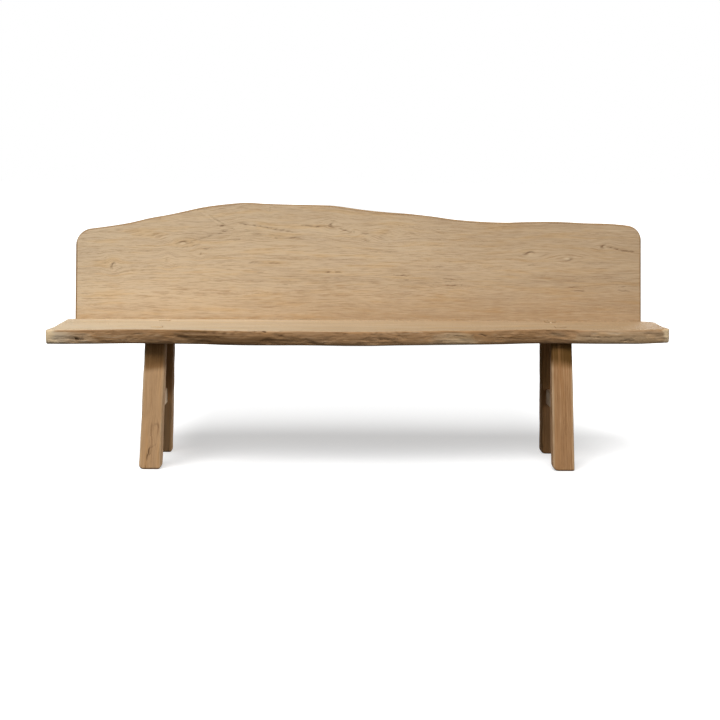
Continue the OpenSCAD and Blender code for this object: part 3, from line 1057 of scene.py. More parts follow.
    def rings(self) -> Array:
        """The sections, each round from the top front arris, with the ends closed by narrowing ones."""
        left, right = max(self.corners[0], self.corners[2]), max(self.corners[1], self.corners[3])
        x = along_slab(self.half, left, right, self.steps)
        ease = corner_cut(self.half - np.abs(x), self.end_ease)[:, None]
        edge = self.edge(x)
        top, under = self.layout.seat_top, self.layout.seat_under
        edge[..., 2] = np.clip(edge[..., 2], under + ease, top - ease)
        wide = x[:, None]
        lean = math.tan(self.layout.lean)
        share = np.linspace(0.0, 1.0, self.under_rows)[1:]
        low = under + ease + 0.0 * share
        rear_low = self.rear(wide) - (top - under - ease) * lean
        bottom_y = edge[:, -1:, 1] + (rear_low - edge[:, -1:, 1]) * share
        share = np.linspace(0.0, 1.0, 7)[1:]
        bevel_z = under + ease + (top - under - 2 * ease) * share
        bevel_y = self.rear(wide) - (top - bevel_z) * lean
        share = np.linspace(0.0, 1.0, self.top_rows)[1:-1]
        top_y = bevel_y[:, -1:] + (edge[:, :1, 1] - bevel_y[:, -1:]) * share
        high = top - ease + 0.0 * share
        flat = points_of(wide / 0.22 + 0.0 * top_y, top_y / 0.1)
        _, _, deep = self.top_figure.marks(wide + 0.0 * top_y, top_y)
        high = high - np.maximum(0.15 * MM + ripple(flat, 5) * 0.15 * MM, 0.0) - deep
        parts = [edge[:, :, 1:]]
        for y, z in ((bottom_y, low), (bevel_y, bevel_z), (top_y, high)):
            parts.append(points_of(y, z))
        section = np.concatenate(parts, 1)
        along = self.draw_in(wide, section[..., 0] - self.front(wide))
        rings = np.concatenate([along[..., None], section], -1)
        middle, shares = (top + under) / 2, (0.02, 0.35, 0.7)
        caps = [np.stack([self._narrow(ring, middle, f) for f in shares]) for ring in (rings[0], rings[-1])]
        return np.concatenate([caps[0], rings, caps[1][::-1]])

    @staticmethod
    def _narrow(ring: Array, middle: float, share: float) -> Array:
        """A section drawn together towards its mid height."""
        drawn = ring.copy()
        drawn[:, 2] = middle + (ring[:, 2] - middle) * share
        return drawn

    def build(self, mortises: Sequence[bpy.types.Object]) -> bpy.types.Object:
        """Makes the seat.

        Args:
            mortises: Solids that open the holes for the legs' tenons.

        Returns:
            The finished piece.
        """
        piece = skin("seat_slab_worn", self.rings())
        cut(piece, *mortises)
        shade(piece)
        self.write_grain(piece)
        dress(piece, self.finish, "seat_wood", "seat_slab")
        return piece

    def write_grain(self, piece: bpy.types.Object) -> None:
        """Writes how the grain, the marks and the faces lie."""
        x, y, z = places(piece).T
        front = self.front(x)
        below = self.layout.seat_top - z
        into = y - front
        nearness = smooth(into, 0.26, 0.0)
        bow = front - self.layout.front_line
        line = self.top_figure.across(x, y) - self.follow * nearness * bow
        line += self.wander * ripple(points_of(x / 0.7, y / 0.3), 41)
        note(piece, "grain", x, line, z + 0.35 * np.maximum(0.03 - into, 0.0))
        on_edge = smooth(into, 14 * MM, 6 * MM) * smooth(below, 0.4 * MM, 3 * MM)
        dark, pale, _ = self.edge_figure.marks(x, z)
        top_dark, top_pale, _ = self.top_figure.marks(x, y)
        on_top = smooth(below, 4 * MM, 2 * MM)
        near_edge = smooth(into, 24 * MM, 10 * MM)
        lip = smooth(below, 44.5 * MM, 46.5 * MM) * smooth(into, 0.03, 0.02)
        dark = np.maximum(np.maximum(dark * near_edge, top_dark * on_top), 0.7 * lip)
        pale = np.maximum(pale * on_edge, top_pale * on_top)
        far = self.half - np.abs(x)
        ends = smooth(far, 1.2 * MM, 0.0)
        rag = far + 7 * MM * ripple(points_of(x / 0.05, z / 0.02), 77)
        lower = smooth(below, 20 * MM, 40 * MM)
        bare_left = smooth(rag, 38 * MM, 14 * MM) * (1.0 - 0.4 * lower)
        bare = np.where(x < 0, bare_left, smooth(rag, 24 * MM, 10 * MM)) * on_edge
        high = smooth(below, 14 * MM, 4 * MM)
        stain = curve(self.stains, x) + self.lip_bark * high - self.low_bark * lower
        stain = np.clip(stain, 0.0, 1.0) * (1.0 - bare)
        stain = np.maximum(stain, curve(self.least_stain, x))
        note(piece, "marks", dark, pale, stain * on_edge * (1.0 - ends) * (1.0 - bare))
        # Painted light on the lower part of the live edge, in the silver colour.
        low_edge_light = np.maximum(curve(self.bleached, x), 0.0) * smooth(below, 10 * MM, 32 * MM) * on_edge
        silver = np.maximum(np.maximum(bare, low_edge_light), self.end_silver * ends)
        lift = self.right_lift * smooth(x, 0.62, 0.8) * on_edge
        # Painted light: the wood is painted lighter towards the left end and darker towards the right.
        note(piece, "faces", ends, silver, lift - self.light_fall * (x / self.half))


@dataclass
class Back:
    """The back: one wide slab with a wavy crest, leaning away from the seat.

    Attributes:
        corners: Radii of the upper left and the upper right corner.
        crest: Places along the board as shares, and how far the crest drops there, in mm.
        live: How dark the painted shade along the crest's rounded arris is; end_arris_shade is for the ends.
        foot_shade: How much painted shade darkens the board towards the seat; seam_shade is for right at it.
        follow: How closely the grain follows the crest; wander is how far it strays by itself.
        end_silver: How bleached the sawn ends are.
        tone: How much lighter the board is than the wood's own colours.
        light_fall: How much darker it is painted at the right end than in the middle, as a painted fall of
            light.
    """

    layout: Layout
    finish: Wood
    half: float = 963 * MM
    height: float = 399.5 * MM
    corners: tuple[float, float] = (50 * MM, 43 * MM)
    ease: float = 6 * MM
    crest: Pairs = (
        (-1, 97), (-0.942, 89.5), (-0.88, 81.5), (-0.81, 70), (-0.74, 54), (-0.67, 41.5), (-0.625, 32),
        (-0.55, 16), (-0.48, 6.5), (-0.4, 0), (-0.33, 3), (-0.24, 5.5), (-0.13, 7), (-0.08, 10),
        (0.016, 22.5), (0.1, 30.5), (0.182, 36), (0.26, 44), (0.34, 54.5), (0.43, 61), (0.52, 64),
        (0.58, 62), (0.68, 60.5), (0.74, 62), (0.805, 65), (0.88, 66.5), (0.936, 70.5), (1, 79),
    )  # fmt: skip
    face_rows: int = 170
    rear_rows: int = 18
    steps: int = 390
    live: float = 0.38
    end_arris_shade: float = 0.5
    foot_shade: float = 0.32
    seam_shade: float = 0.14
    follow: float = 0.4
    wander: float = 0.005
    end_silver: float = 0.2
    tone: float = 0.15
    light_fall: float = 0.28
    figure: Figure = Figure(
        knots=(
            Knot((-0.833, 0.182), (6 * MM, 9 * MM), dark=0.85, pale=0.2, facing=130.0, depth=1.2 * MM),
            Knot((-0.860, 0.202), (3 * MM, 8 * MM), dark=0.4, pale=0.1, facing=180.0, push=0.3),
            Knot((-0.597, 0.259), (15 * MM, 6 * MM), dark=0.95, pale=0.8, facing=100.0, depth=1.2 * MM),
            Knot((-0.541, 0.225), (4 * MM, 5 * MM), dark=0.55, pale=0.1, facing=0.0),
            Knot((-0.650, 0.202), (4 * MM, 7 * MM), dark=0.25, pale=0.05, facing=180.0),
            Knot((-0.688, 0.283), (14 * MM, 6 * MM), dark=0.2, pale=0.3, facing=90.0),
            Knot((-0.086, 0.324), (9 * MM, 8 * MM), dark=0.6, pale=0.5, facing=180.0, depth=1 * MM),
            Knot((-0.019, 0.300), (5 * MM, 4 * MM), dark=0.5, pale=0.0, facing=0.0),
            Knot((0.034, 0.273), (6 * MM, 3.5 * MM), dark=0.5, pale=0.0, facing=270.0, push=0.5),
            Knot((0.107, 0.289), (20 * MM, 10 * MM), dark=0.16, pale=0.35, facing=200.0),
            Knot((-0.310, 0.377), (2.5 * MM, 7 * MM), dark=0.35, pale=0.0, facing=0.0, push=0.3),
            Knot((-0.300, 0.378), (2.5 * MM, 6 * MM), dark=0.3, pale=0.0, facing=180.0, push=0.3),
            Knot((0.294, 0.307), (7 * MM, 4 * MM), dark=0.25, pale=0.0, facing=90.0, push=0.4),
            Knot((0.586, 0.227), (14 * MM, 7 * MM), dark=0.9, pale=0.4, facing=125.0, depth=1.2 * MM),
            Knot((0.711, 0.212), (15 * MM, 7 * MM), dark=0.7, pale=0.9, facing=300.0),
            Knot((0.840, 0.254), (9 * MM, 6 * MM), dark=0.7, pale=0.4, facing=180.0, depth=0.8 * MM),
            Knot((0.166, 0.090), (60 * MM, 14 * MM), dark=0.0, pale=0.0, push=0.5),
            Knot((-0.501, 0.093), (70 * MM, 16 * MM), dark=0.0, pale=0.0, push=0.4),
        ),
        scars=scars(
            3,
            (2.6, 0, 0, 1.0, ((-0.538, 0.368), (-0.501, 0.344), (-0.465, 0.321))),
            (2.4, 0, 0, 1.0, ((-0.499, 0.353), (-0.457, 0.328), (-0.409, 0.307))),
            (1.9, 0.5, 0.45, 0, ((-0.521, 0.363), (-0.484, 0.339), (-0.450, 0.320))),
            (2.2, 0.8, 0.85, 0, ((-0.474, 0.317), (-0.450, 0.322))),
            (2.2, 0.8, 0.78, 0, ((-0.467, 0.299), (-0.443, 0.303))),
            (2.2, 1.1, 0.75, 0.3, ((-0.419, 0.331), (-0.340, 0.317), (-0.276, 0.308), (-0.208, 0.296))),
            (2.2, 1, 0.8, 0.2, ((-0.198, 0.324), (-0.174, 0.321), (-0.140, 0.317), (-0.096, 0.317))),
            (2.1, 0.8, 0.72, 0, ((-0.069, 0.314), (-0.045, 0.304), (-0.015, 0.299))),
            (2.7, 0.2, 0.33, 0, ((-0.395, 0.308), (-0.334, 0.290), (-0.253, 0.283), (-0.174, 0.274))),
            (2.3, 0.5, 0.59, 0, ((-0.576, 0.263), (-0.545, 0.274), (-0.511, 0.283), (-0.457, 0.295))),
            (2.3, 0.3, 0.39, 0, ((-0.627, 0.245), (-0.579, 0.246), (-0.531, 0.259))),
            (2.1, 0.3, 0.52, 0, ((-0.531, 0.239), (-0.497, 0.245))),
            (2.1, 0.4, 0.65, 0, ((-0.429, 0.271), (-0.399, 0.273))),
            (2.2, 0.6, 0.91, 0, ((-0.287, 0.277), (-0.263, 0.279))),
            (2.1, 0.5, 0.65, 0, ((-0.232, 0.282), (-0.198, 0.280))),
            (2.1, 0.3, 0.45, 0, ((0.006, 0.295), (0.047, 0.293))),
            (2.5, 0.3, 0.45, 0, ((-0.378, 0.193), (-0.317, 0.195), (-0.253, 0.191))),
            (2.1, 0.3, 0.39, 0, ((0.040, 0.231), (0.138, 0.235))),
            (2.2, 0.8, 0.85, 0, ((-0.117, 0.162), (-0.093, 0.163))),
            (2.2, 0.8, 0.85, 0, ((-0.079, 0.162), (-0.052, 0.163))),
            (2.1, 0.7, 0.65, 0, ((0.115, 0.154), (0.179, 0.150))),
            (2.1, 0.6, 0.65, 0, ((0.125, 0.142), (0.176, 0.138))),
            (1.8, 0.7, 0.5, 0, ((0.281, 0.141), (0.366, 0.138))),
            (1.8, 0.6, 0.45, 0, ((0.288, 0.131), (0.363, 0.130))),
            (2.1, 0.6, 0.65, 0, ((0.298, 0.120), (0.359, 0.120))),
            (2.1, 0.5, 0.52, 0, ((-0.110, 0.143), (-0.015, 0.140))),
            (2.1, 0.5, 0.52, 0, ((0.006, 0.130), (0.060, 0.128))),
            (2.1, 0.5, 0.52, 0, ((-0.287, 0.121), (-0.219, 0.119))),
            (2.1, 0.4, 0.45, 0, ((-0.361, 0.159), (-0.317, 0.161))),
            (2.2, 0.3, 0.52, 0, ((0.567, 0.189), (0.604, 0.191))),
            (2.1, 0.5, 0.52, 0, ((0.713, 0.117), (0.771, 0.114))),
            (2.1, 0.5, 0.52, 0, ((0.720, 0.104), (0.774, 0.101))),
            (2.1, 0.5, 0.52, 0, ((0.883, 0.119), (0.927, 0.117))),
            (2.1, 0.5, 0.52, 0, ((0.880, 0.104), (0.927, 0.101))),
            (2.3, 0.8, 0.72, 0, (
                (0.842, 0.254), (0.869, 0.247), (0.893, 0.241), (0.937, 0.236), (0.961, 0.232),
            )),
            (2.7, 0.2, 0.26, 0, ((0.727, 0.206), (0.795, 0.194), (0.869, 0.198))),
        )
        + scars(
            46,
            (1.7, 0.4, 0.35, 0, ((-0.542, 0.363), (-0.505, 0.339), (-0.469, 0.316))),
            (1.7, 0.4, 0.35, 0, ((-0.501, 0.348), (-0.459, 0.323), (-0.411, 0.302))),
        ),
    )
    rear_figure: Figure = Figure(
        knots=(
            Knot((-0.33, 0.20), (16 * MM, 10 * MM), dark=0.5, pale=0.2, depth=1 * MM),
            Knot((0.64, 0.13), (12 * MM, 8 * MM), dark=0.4, pale=0.3, depth=1 * MM),
        ),
        scars=(
            Scar(((-0.96, 0.1), (-0.88, 0.104), (-0.78, 0.098)), 1.6 * MM, 1.4 * MM, 0.6, 0.0, 23),
            Scar(((0.2, 0.27), (0.4, 0.262), (0.55, 0.268)), 1.6 * MM, 1.2 * MM, 0.5, 0.0, 24),
        ),
    )

    def top(self, x: Array) -> Array:
        """Height of the crest up the board."""
        rounded = end_cut(x, self.half, *self.corners)
        return self.height - curve(self.crest, x / self.half) * MM - rounded

    def rings(self) -> Array:
        """The sections, each up the front face, over the crest and down the rear face."""
        x = along_slab(self.half, *self.corners, self.steps)[:, None]
        eased = corner_cut(self.half - np.abs(x), self.ease) + 0.05 * MM
        near, far = eased, self.layout.board_t - eased
        low, top = eased - self.layout.board_below, self.top(x)
        bulge, rise = quarter(4)
        front_r, rear_r = self.ease * 1.1, self.ease
        front_u = low + self.ease + (top - front_r - low - self.ease) * np.linspace(0, 1, self.face_rows)
        front_w = near + self._face(x, front_u, self.figure, 51)
        over = np.linspace(0, 1, 5)
        over_w = near + front_r + (far - rear_r - near - front_r) * over
        crest_w = near + front_r * rise, over_w, far - rear_r * rise[::-1]
        crest_u = top - front_r * (1 - bulge), top + 0 * over, top - rear_r * (1 - bulge[::-1])
        rear_u = top - rear_r + (low + self.ease - top + rear_r) * np.linspace(0, 1, self.rear_rows)
        rear_w = far - self._face(x, rear_u, self.rear_figure, 61)
        under_w = far - self.ease + (near + 2 * self.ease - far) * over
        foot_w = far - self.ease * rise, under_w, near + self.ease * rise[::-1]
        foot_u = low + self.ease * (1 - bulge), low + 0 * over, low + self.ease * (1 - bulge[::-1])
        w = np.concatenate([front_w, *crest_w, rear_w, *foot_w], 1)
        u = np.concatenate([front_u, *crest_u, rear_u, *foot_u], 1)
        return self.layout.on_board(x, w, u)

    def _face(self, x: Array, u: Array, figure: Figure, seed: int) -> Array:
        """How far a face lies in from flat: hand-sanded waves, open cracks and worn knots."""
        x = np.broadcast_to(x, u.shape)
        flat = points_of(x / 0.35, u / 0.12)
        inner = smooth(self.half - np.abs(x), 0.0, 0.03)
        _, _, deep = figure.marks(x, u)
        return np.maximum(0.3 * MM + ripple(flat, seed) * 0.3 * MM, 0.1 * MM) * inner + deep + 0.05 * MM

    def build(self) -> bpy.types.Object:
        """Makes the board."""
        piece = skin("back_board_worn", self.rings())
        shade(piece)
        self.write_grain(piece)
        dress(piece, self.finish, "back_wood", "back_board")
        return piece

    def write_grain(self, piece: bpy.types.Object) -> None:
        """Writes how the grain, the marks and the faces lie."""
        x, w, u = self.layout.from_board(places(piece))
        drop = curve(self.crest, np.clip(x / self.half, -1, 1)) * MM
        near_crest = smooth(u, 0.12, 0.40)
        line = self.figure.across(x, u) + drop * self.follow * near_crest
        line += self.wander * ripple(points_of(x / 0.6, u / 0.2), 71)
        branch = smooth(x, -0.60, -0.44) * smooth(x, -0.28, -0.42) * smooth(u, 0.22, 0.34)
        line -= 0.12 * (x + 0.44) * branch
        note(piece, "grain", x, line, w)
        on_face, on_rear = smooth(w, 6 * MM, 3 * MM), smooth(self.layout.board_t - w, 6 * MM, 3 * MM)
        front_marks = self.figure.marks(x, u)
        rear_marks = self.rear_figure.marks(x, u)
        dark = front_marks[0] * on_face + rear_marks[0] * on_rear
        pale = front_marks[1] * on_face + rear_marks[1] * on_rear
        top = self.top(np.clip(x, -self.half, self.half))
        far = self.half - np.abs(x)
        # Painted shade: a dark band along the rounded arris of the crest and of the ends.
        crest_arris_shade = self.live * smooth(top - u, 7 * MM, 1 * MM)
        live = np.maximum(crest_arris_shade, self.end_arris_shade * smooth(far, 7 * MM, 2 * MM))
        open_rows = 0.15 * bell(u, 0.137, 0.026) * on_face * smooth(x, -0.7, -0.1)
        dark = np.maximum(dark, open_rows)
        note(piece, "marks", dark, pale, live)
        ends = smooth(far, 1.5 * MM, 0.0)
        # Painted shade on the board towards the seat, and more right at the seam.
        shade_in = self.foot_shade * smooth(u, 0.15, 0.0) + self.seam_shade * smooth(u, 0.024, 0.006)
        # Painted light: lighter towards the left end, darker towards the right.
        lightness = self.tone - self.light_fall * x / self.half - shade_in
        note(piece, "faces", ends, self.end_silver * ends, lightness)


# Legs and stretchers


def round_square(count: int, turns: int) -> tuple[Array, Array, Array, Array]:
    """A square outline with room for round corners, in order round it.

    Args:
        count: Points along each side.
        turns: Points round each corner.

    Returns:
        For each point the side's or corner's x and y as shares of half the width, and the x and y of
        its direction about the corner's own centre, 0 and a unit along a side.
    """
    share, slant = [], []
    for quarter_turn in range(4):
        angle = math.pi / 2 * quarter_turn
        turn = np.array([[math.cos(angle), -math.sin(angle)], [math.sin(angle), math.cos(angle)]])
        run = np.linspace(-1, 1, count + 2)[1:-1]
        side = points_of(np.ones(count), run)
        arc = np.linspace(0, math.pi / 2, turns)
        share += list(side @ turn.T) + [np.array([1.0, 1.0]) @ turn.T] * turns
        slant += [np.array([1.0, 0.0]) @ turn.T] * count
        slant += list(points_of(np.cos(arc), np.sin(arc)) @ turn.T)
    return (*np.array(share).T, *np.array(slant).T)


@dataclass
class Leg:
    """One square leg: tapered, splayed, worn round at its foot, with a wedged tenon through the seat.

    Attributes:
        worn_foot: Radii of the foot's left and right edges; eased_foot is for its front and rear ones.
        foot_rows: How far up the foot the sections lie close together.
        wedge: Length of the slot for the wedge, and its width at the top and at the tip.
        shade_left: For the front left leg: how far down the painted shade under the seat reaches, how much
            further at its right arris than at its left, and how dark it is; shade_right is for the front
            right.
        shade_rear: For the rear legs: where the painted shade under the seat ends, where it is full, how
            dark it is, and how dark the rest is.
        wander: How far the grain strays by itself.
        tone: How much lighter the legs are than the wood's own colours; vary is how much they differ.
        light_fall: How much darker the right legs are painted than that, and how much lighter the left ones,
            as
        a painted fall of light.
    """

    layout: Layout
    finish: Wood
    side: Side
    row: Row
    seed: int
    figure: Figure = Figure()
    worn_foot: tuple[float, float] = (6 * MM, 6 * MM)
    eased_foot: float = 6 * MM
    foot_rows: float = 22 * MM
    shade_left: tuple[float, float, float] = (77 * MM, -8 * MM, 0.95)
    shade_right: tuple[float, float, float] = (64 * MM, 6 * MM, 1.65)
    shade_rear: tuple[float, float, float, float] = (250 * MM, 130 * MM, 0.95, 0.15)
    wander: float = 0.004
    tone: float = -0.05
    vary: float = 0.02
    light_fall: float = 0.27
    at_x: float = 0.6545
    front_in: float = 63.5 * MM
    rear_in: float = 45.5 * MM
    front_splay: float = 55 * MM
    rear_splay: float = 43 * MM
    front_right_back: float = 42 * MM
    front_right_out: float = 8 * MM
    rear_right_in: float = 5.5 * MM
    foot_out_left: float = 15.5 * MM
    foot_out_right: float = 11.5 * MM
    top_w: float = 68 * MM
    foot_w: float = 71 * MM
    arris: float = 7 * MM
    tenon_w: float = 36 * MM
    tenon_r: float = 4 * MM
    tenon_gap: float = 0.05 * MM
    wedge: tuple[float, float, float] = (32 * MM, 6 * MM, 2 * MM)
    peg_d: float = 9 * MM
    peg_z: float = 0.199
    stub: float = 34 * MM
    face_points: int = 35
    arris_points: int = 6
    steps: int = 150

    @property
    def name(self) -> str:
        """The CAD node's name."""
        return f"leg_{self.row.name.lower()}_{self.side.name.lower()}"

    def drop(self, z: Array) -> Array:
        """How far down from the seat each height lies, as a share of the whole."""
        return (self.layout.seat_under - z) / self.layout.seat_under

    def axis(self, z: Array) -> tuple[Array, Array]:
        """The leg's middle at each height."""
        right, lay = self.side is Side.RIGHT, self.layout
        out = self.foot_out_right if right else self.foot_out_left
        further_in = self.rear_right_in if right and self.row is Row.REAR else 0.0
        back = self.front_right_back if right and self.row is Row.FRONT else 0.0
        further_out = self.front_right_out if right and self.row is Row.FRONT else 0.0
        top_x = self.at_x - further_in + further_out
        x = lay.shift + self.side.value * (top_x + (out - further_out) * self.drop(z))
        if self.row is Row.FRONT:
            return x, lay.front_line + self.front_in + back - (self.front_splay + back) * self.drop(z)
        return x, lay.rear_edge - self.rear_in + self.rear_splay * self.drop(z)

    def width(self, z: Array) -> Array:
        """The leg's width at each height."""
        return self.top_w + (self.foot_w - self.top_w) * self.drop(z)

    def facing(self, z: Array) -> Array:
        """The face that looks at the other leg of the same end."""
        return self.axis(z)[1] - self.row.value * self.width(z) / 2

    def rings(self) -> Array:
        """The level sections, from the foot up to the tenon's end."""
        under, top = self.layout.seat_under, self.layout.seat_top
        turn = 1 - np.cos(np.radians(np.arange(0.0, 90.0, 9.0)))
        rows = self.foot_rows * turn, np.linspace(self.foot_rows, under, self.steps)
        z = np.concatenate(rows)[:, None]
        sx, sy, nx, ny = round_square(self.face_points, self.arris_points)
        x, y = self.axis(z)
        half = self.width(z) / 2
        cut_x = np.where(sx < 0, corner_cut(z, self.worn_foot[0]), corner_cut(z, self.worn_foot[1]))
        cut_y = corner_cut(z, self.eased_foot)
        corner = np.abs(nx * ny) + (np.abs(sx * sy) > NEARLY_ONE)
        edge = points_of(np.sign(sx) + 0 * z, np.sign(sy) + 0 * z, z / 0.09)
        radius = self.arris * (1 + 0.22 * ripple(edge, self.seed))
        radius = np.where(corner > 0, radius, 0.0)
        around = points_of(sx * 1.2 + 0 * z, sy * 1.2 + 0 * z, z / 0.11)
        fine = points_of(sx * 3.5 + 0 * z, sy * 3.5 + 0 * z, z / 0.035)
        worn = np.maximum(0.55 * MM * (1 + ripple(around, self.seed + 1)), 0)
        worn = worn + 0.16 * MM * ripple(fine, self.seed + 2)
        across = sx * half
        _, _, deep = self.figure.marks(z + 0 * across, across)
        worn = worn + deep * (ny < -0.9)
        hug = np.where(corner > 0, 1.0, 0.0)
        spread = np.clip(np.abs(sx), 0, 1)
        px = sx * (half - cut_x * spread) - hug * np.sign(sx) * radius + radius * nx - worn * nx
        py = sy * (half - cut_y) - hug * np.sign(sy) * radius + radius * ny - worn * ny
        side_fit = np.where(corner > 0, 1.0, 1 - self.arris * 1.15 / half)
        side_x = sx * side_fit * (half - cut_x * spread) - worn * nx
        side_y = sy * side_fit * (half - cut_y) - worn * ny
        px = np.where((np.abs(nx) > NEARLY_ONE) | (corner > 0), px, side_x)
        py = np.where((np.abs(ny) > NEARLY_ONE) | (corner > 0), py, side_y)
        body = points_of(x + px, y + py, z + 0 * px)
        deep_z = np.array([0.6, 0.3, 0.2, 0.2]) * MM
        tenon_z = np.concatenate([[under, under + 1 * MM], top - deep_z])[:, None]
        slim = np.array([0, 0, 0, 0.05, 0.2, 0.9])[:, None] * MM
        tx, ty = self.axis(tenon_z)
        half_t = self.tenon_w / 2 - slim
        fit = np.where(corner > 0, 1.0, 1 - self.tenon_r / half_t)
        fit_x = np.where(np.abs(nx) > NEARLY_ONE, 1.0, fit)
        fit_y = np.where(np.abs(ny) > NEARLY_ONE, 1.0, fit)
        qx = sx * fit_x * half_t - hug * (np.sign(sx) - nx) * self.tenon_r
        qy = sy * fit_y * half_t - hug * (np.sign(sy) - ny) * self.tenon_r
        tenon = points_of(tx + qx, ty + qy, tenon_z + 0 * qx)
        return np.concatenate([body, tenon])

    def mortise(self) -> bpy.types.Object:
        """The solid that opens the seat for the tenon."""
        z = np.array([self.layout.seat_under - 3 * MM, self.layout.seat_top + 3 * MM])[:, None]
        sx, sy, nx, ny = round_square(1, 5)
        x, y = self.axis(z)
        half, r = self.tenon_w / 2 + self.tenon_gap, self.tenon_r
        hug = np.abs(sx * sy) > NEARLY_ONE
        px = sx * half - hug * (np.sign(sx) - nx) * r
        py = sy * half - hug * (np.sign(sy) - ny) * r
        return skin("mortise_cutter", points_of(x + px, y + py, z + 0 * px))

    def wedge_slot(self) -> bpy.types.Object:
        """The solid that opens the tenon for its wedge."""
        length, head, tip = self.wedge
        top = self.layout.seat_top
        z = np.array([top - length, top + 2 * MM])[:, None]
        half = np.array([tip, head])[:, None] / 2 + 0.1 * MM
        x, y = self.axis(z)
        px, py = np.array([1, -1, -1, 1]) * half, np.array([1, 1, -1, -1]) * self.tenon_w
        return skin("wedge_cutter", points_of(x + px, y + py + 0 * px, z + 0 * px))

    def peg_hole(self) -> bpy.types.Object:
        """The solid that opens the leg for the peg."""
        x, _ = self.axis(self.peg_z)
        width = self.width(self.peg_z)
        y = self.facing(self.peg_z) + self.row.value * self.stub / 2
        out = self.side.value * (width / 2 + 3 * MM)
        angle = np.linspace(0, 2 * math.pi, 25)[:-1]
        radius = self.peg_d / 2 + 0.15 * MM
        ring = points_of(0 * angle, y + radius * np.cos(angle), self.peg_z + radius * np.sin(angle))
        ends = np.array([x, x + out])[:, None, None] * np.array([1, 0, 0])
        return skin("peg_cutter", ring + ends)

    def build(self) -> bpy.types.Object:
        """Makes the leg."""
        piece = skin(f"{self.name}_worn", self.rings())
        cut(piece, self.wedge_slot(), self.peg_hole())
        shade(piece)
        self.write_grain(piece)
        dress(piece, self.finish, "leg_wood", self.name)
        return piece

    def write_grain(self, piece: bpy.types.Object) -> None:
        """Writes how the grain, the marks and the faces lie."""
        points = places(piece)
        z = points[:, 2]
        x, y = self.axis(z)
        a, b = points[:, 0] - x, points[:, 1] - y
        stray = ripple(points_of(z / 0.3, a / 0.1, b / 0.1), self.seed + 7)
        line = self.figure.across(z, a) + self.wander * stray
        shift = 0.37 * self.seed
        note(piece, "grain", 0.45 * (z + shift), line + shift, b)
        dark, pale, _ = self.figure.marks(z, a)
        front = b < -0.4 * self.width(z)
        below = self.layout.seat_under - z
        # Painted shade: darker under the seat and at the foot; on the rear legs also a slight darker tint
        # all the way down.
        if self.row is Row.REAR:
            end, full, strength, least = self.shade_rear
            under = np.maximum(strength * smooth(below, end, full), least)
        else:
            reach, slant, strength = self.shade_right if self.side is Side.RIGHT else self.shade_left
            low = reach + slant * a / self.width(z)
            under = strength * smooth(below, low + 24 * MM, low - 18 * MM)
        dim = np.maximum(0.55 * smooth(z, 9 * MM, 0.0), under * (below > 0))
        note(piece, "marks", dark * front, pale * front, dim)
        tenon = smooth(z, self.layout.seat_top - 3 * MM, self.layout.seat_top - 1 * MM)
        ends = np.maximum(smooth(z, 0.6 * MM, 0.0), tenon)
        arris = smooth(np.abs(a * b) / self.width(z) ** 2, 0.185, 0.225)
        rubbed = 0.4 * arris * (below > 0) * (self.row is Row.FRONT)
        own = self.vary * np.sin(3.0 * self.seed)
        # Painted light: the left legs lighter and the right ones darker.
        note(piece, "faces", ends, rubbed, own + self.tone - self.light_fall * self.side.value)


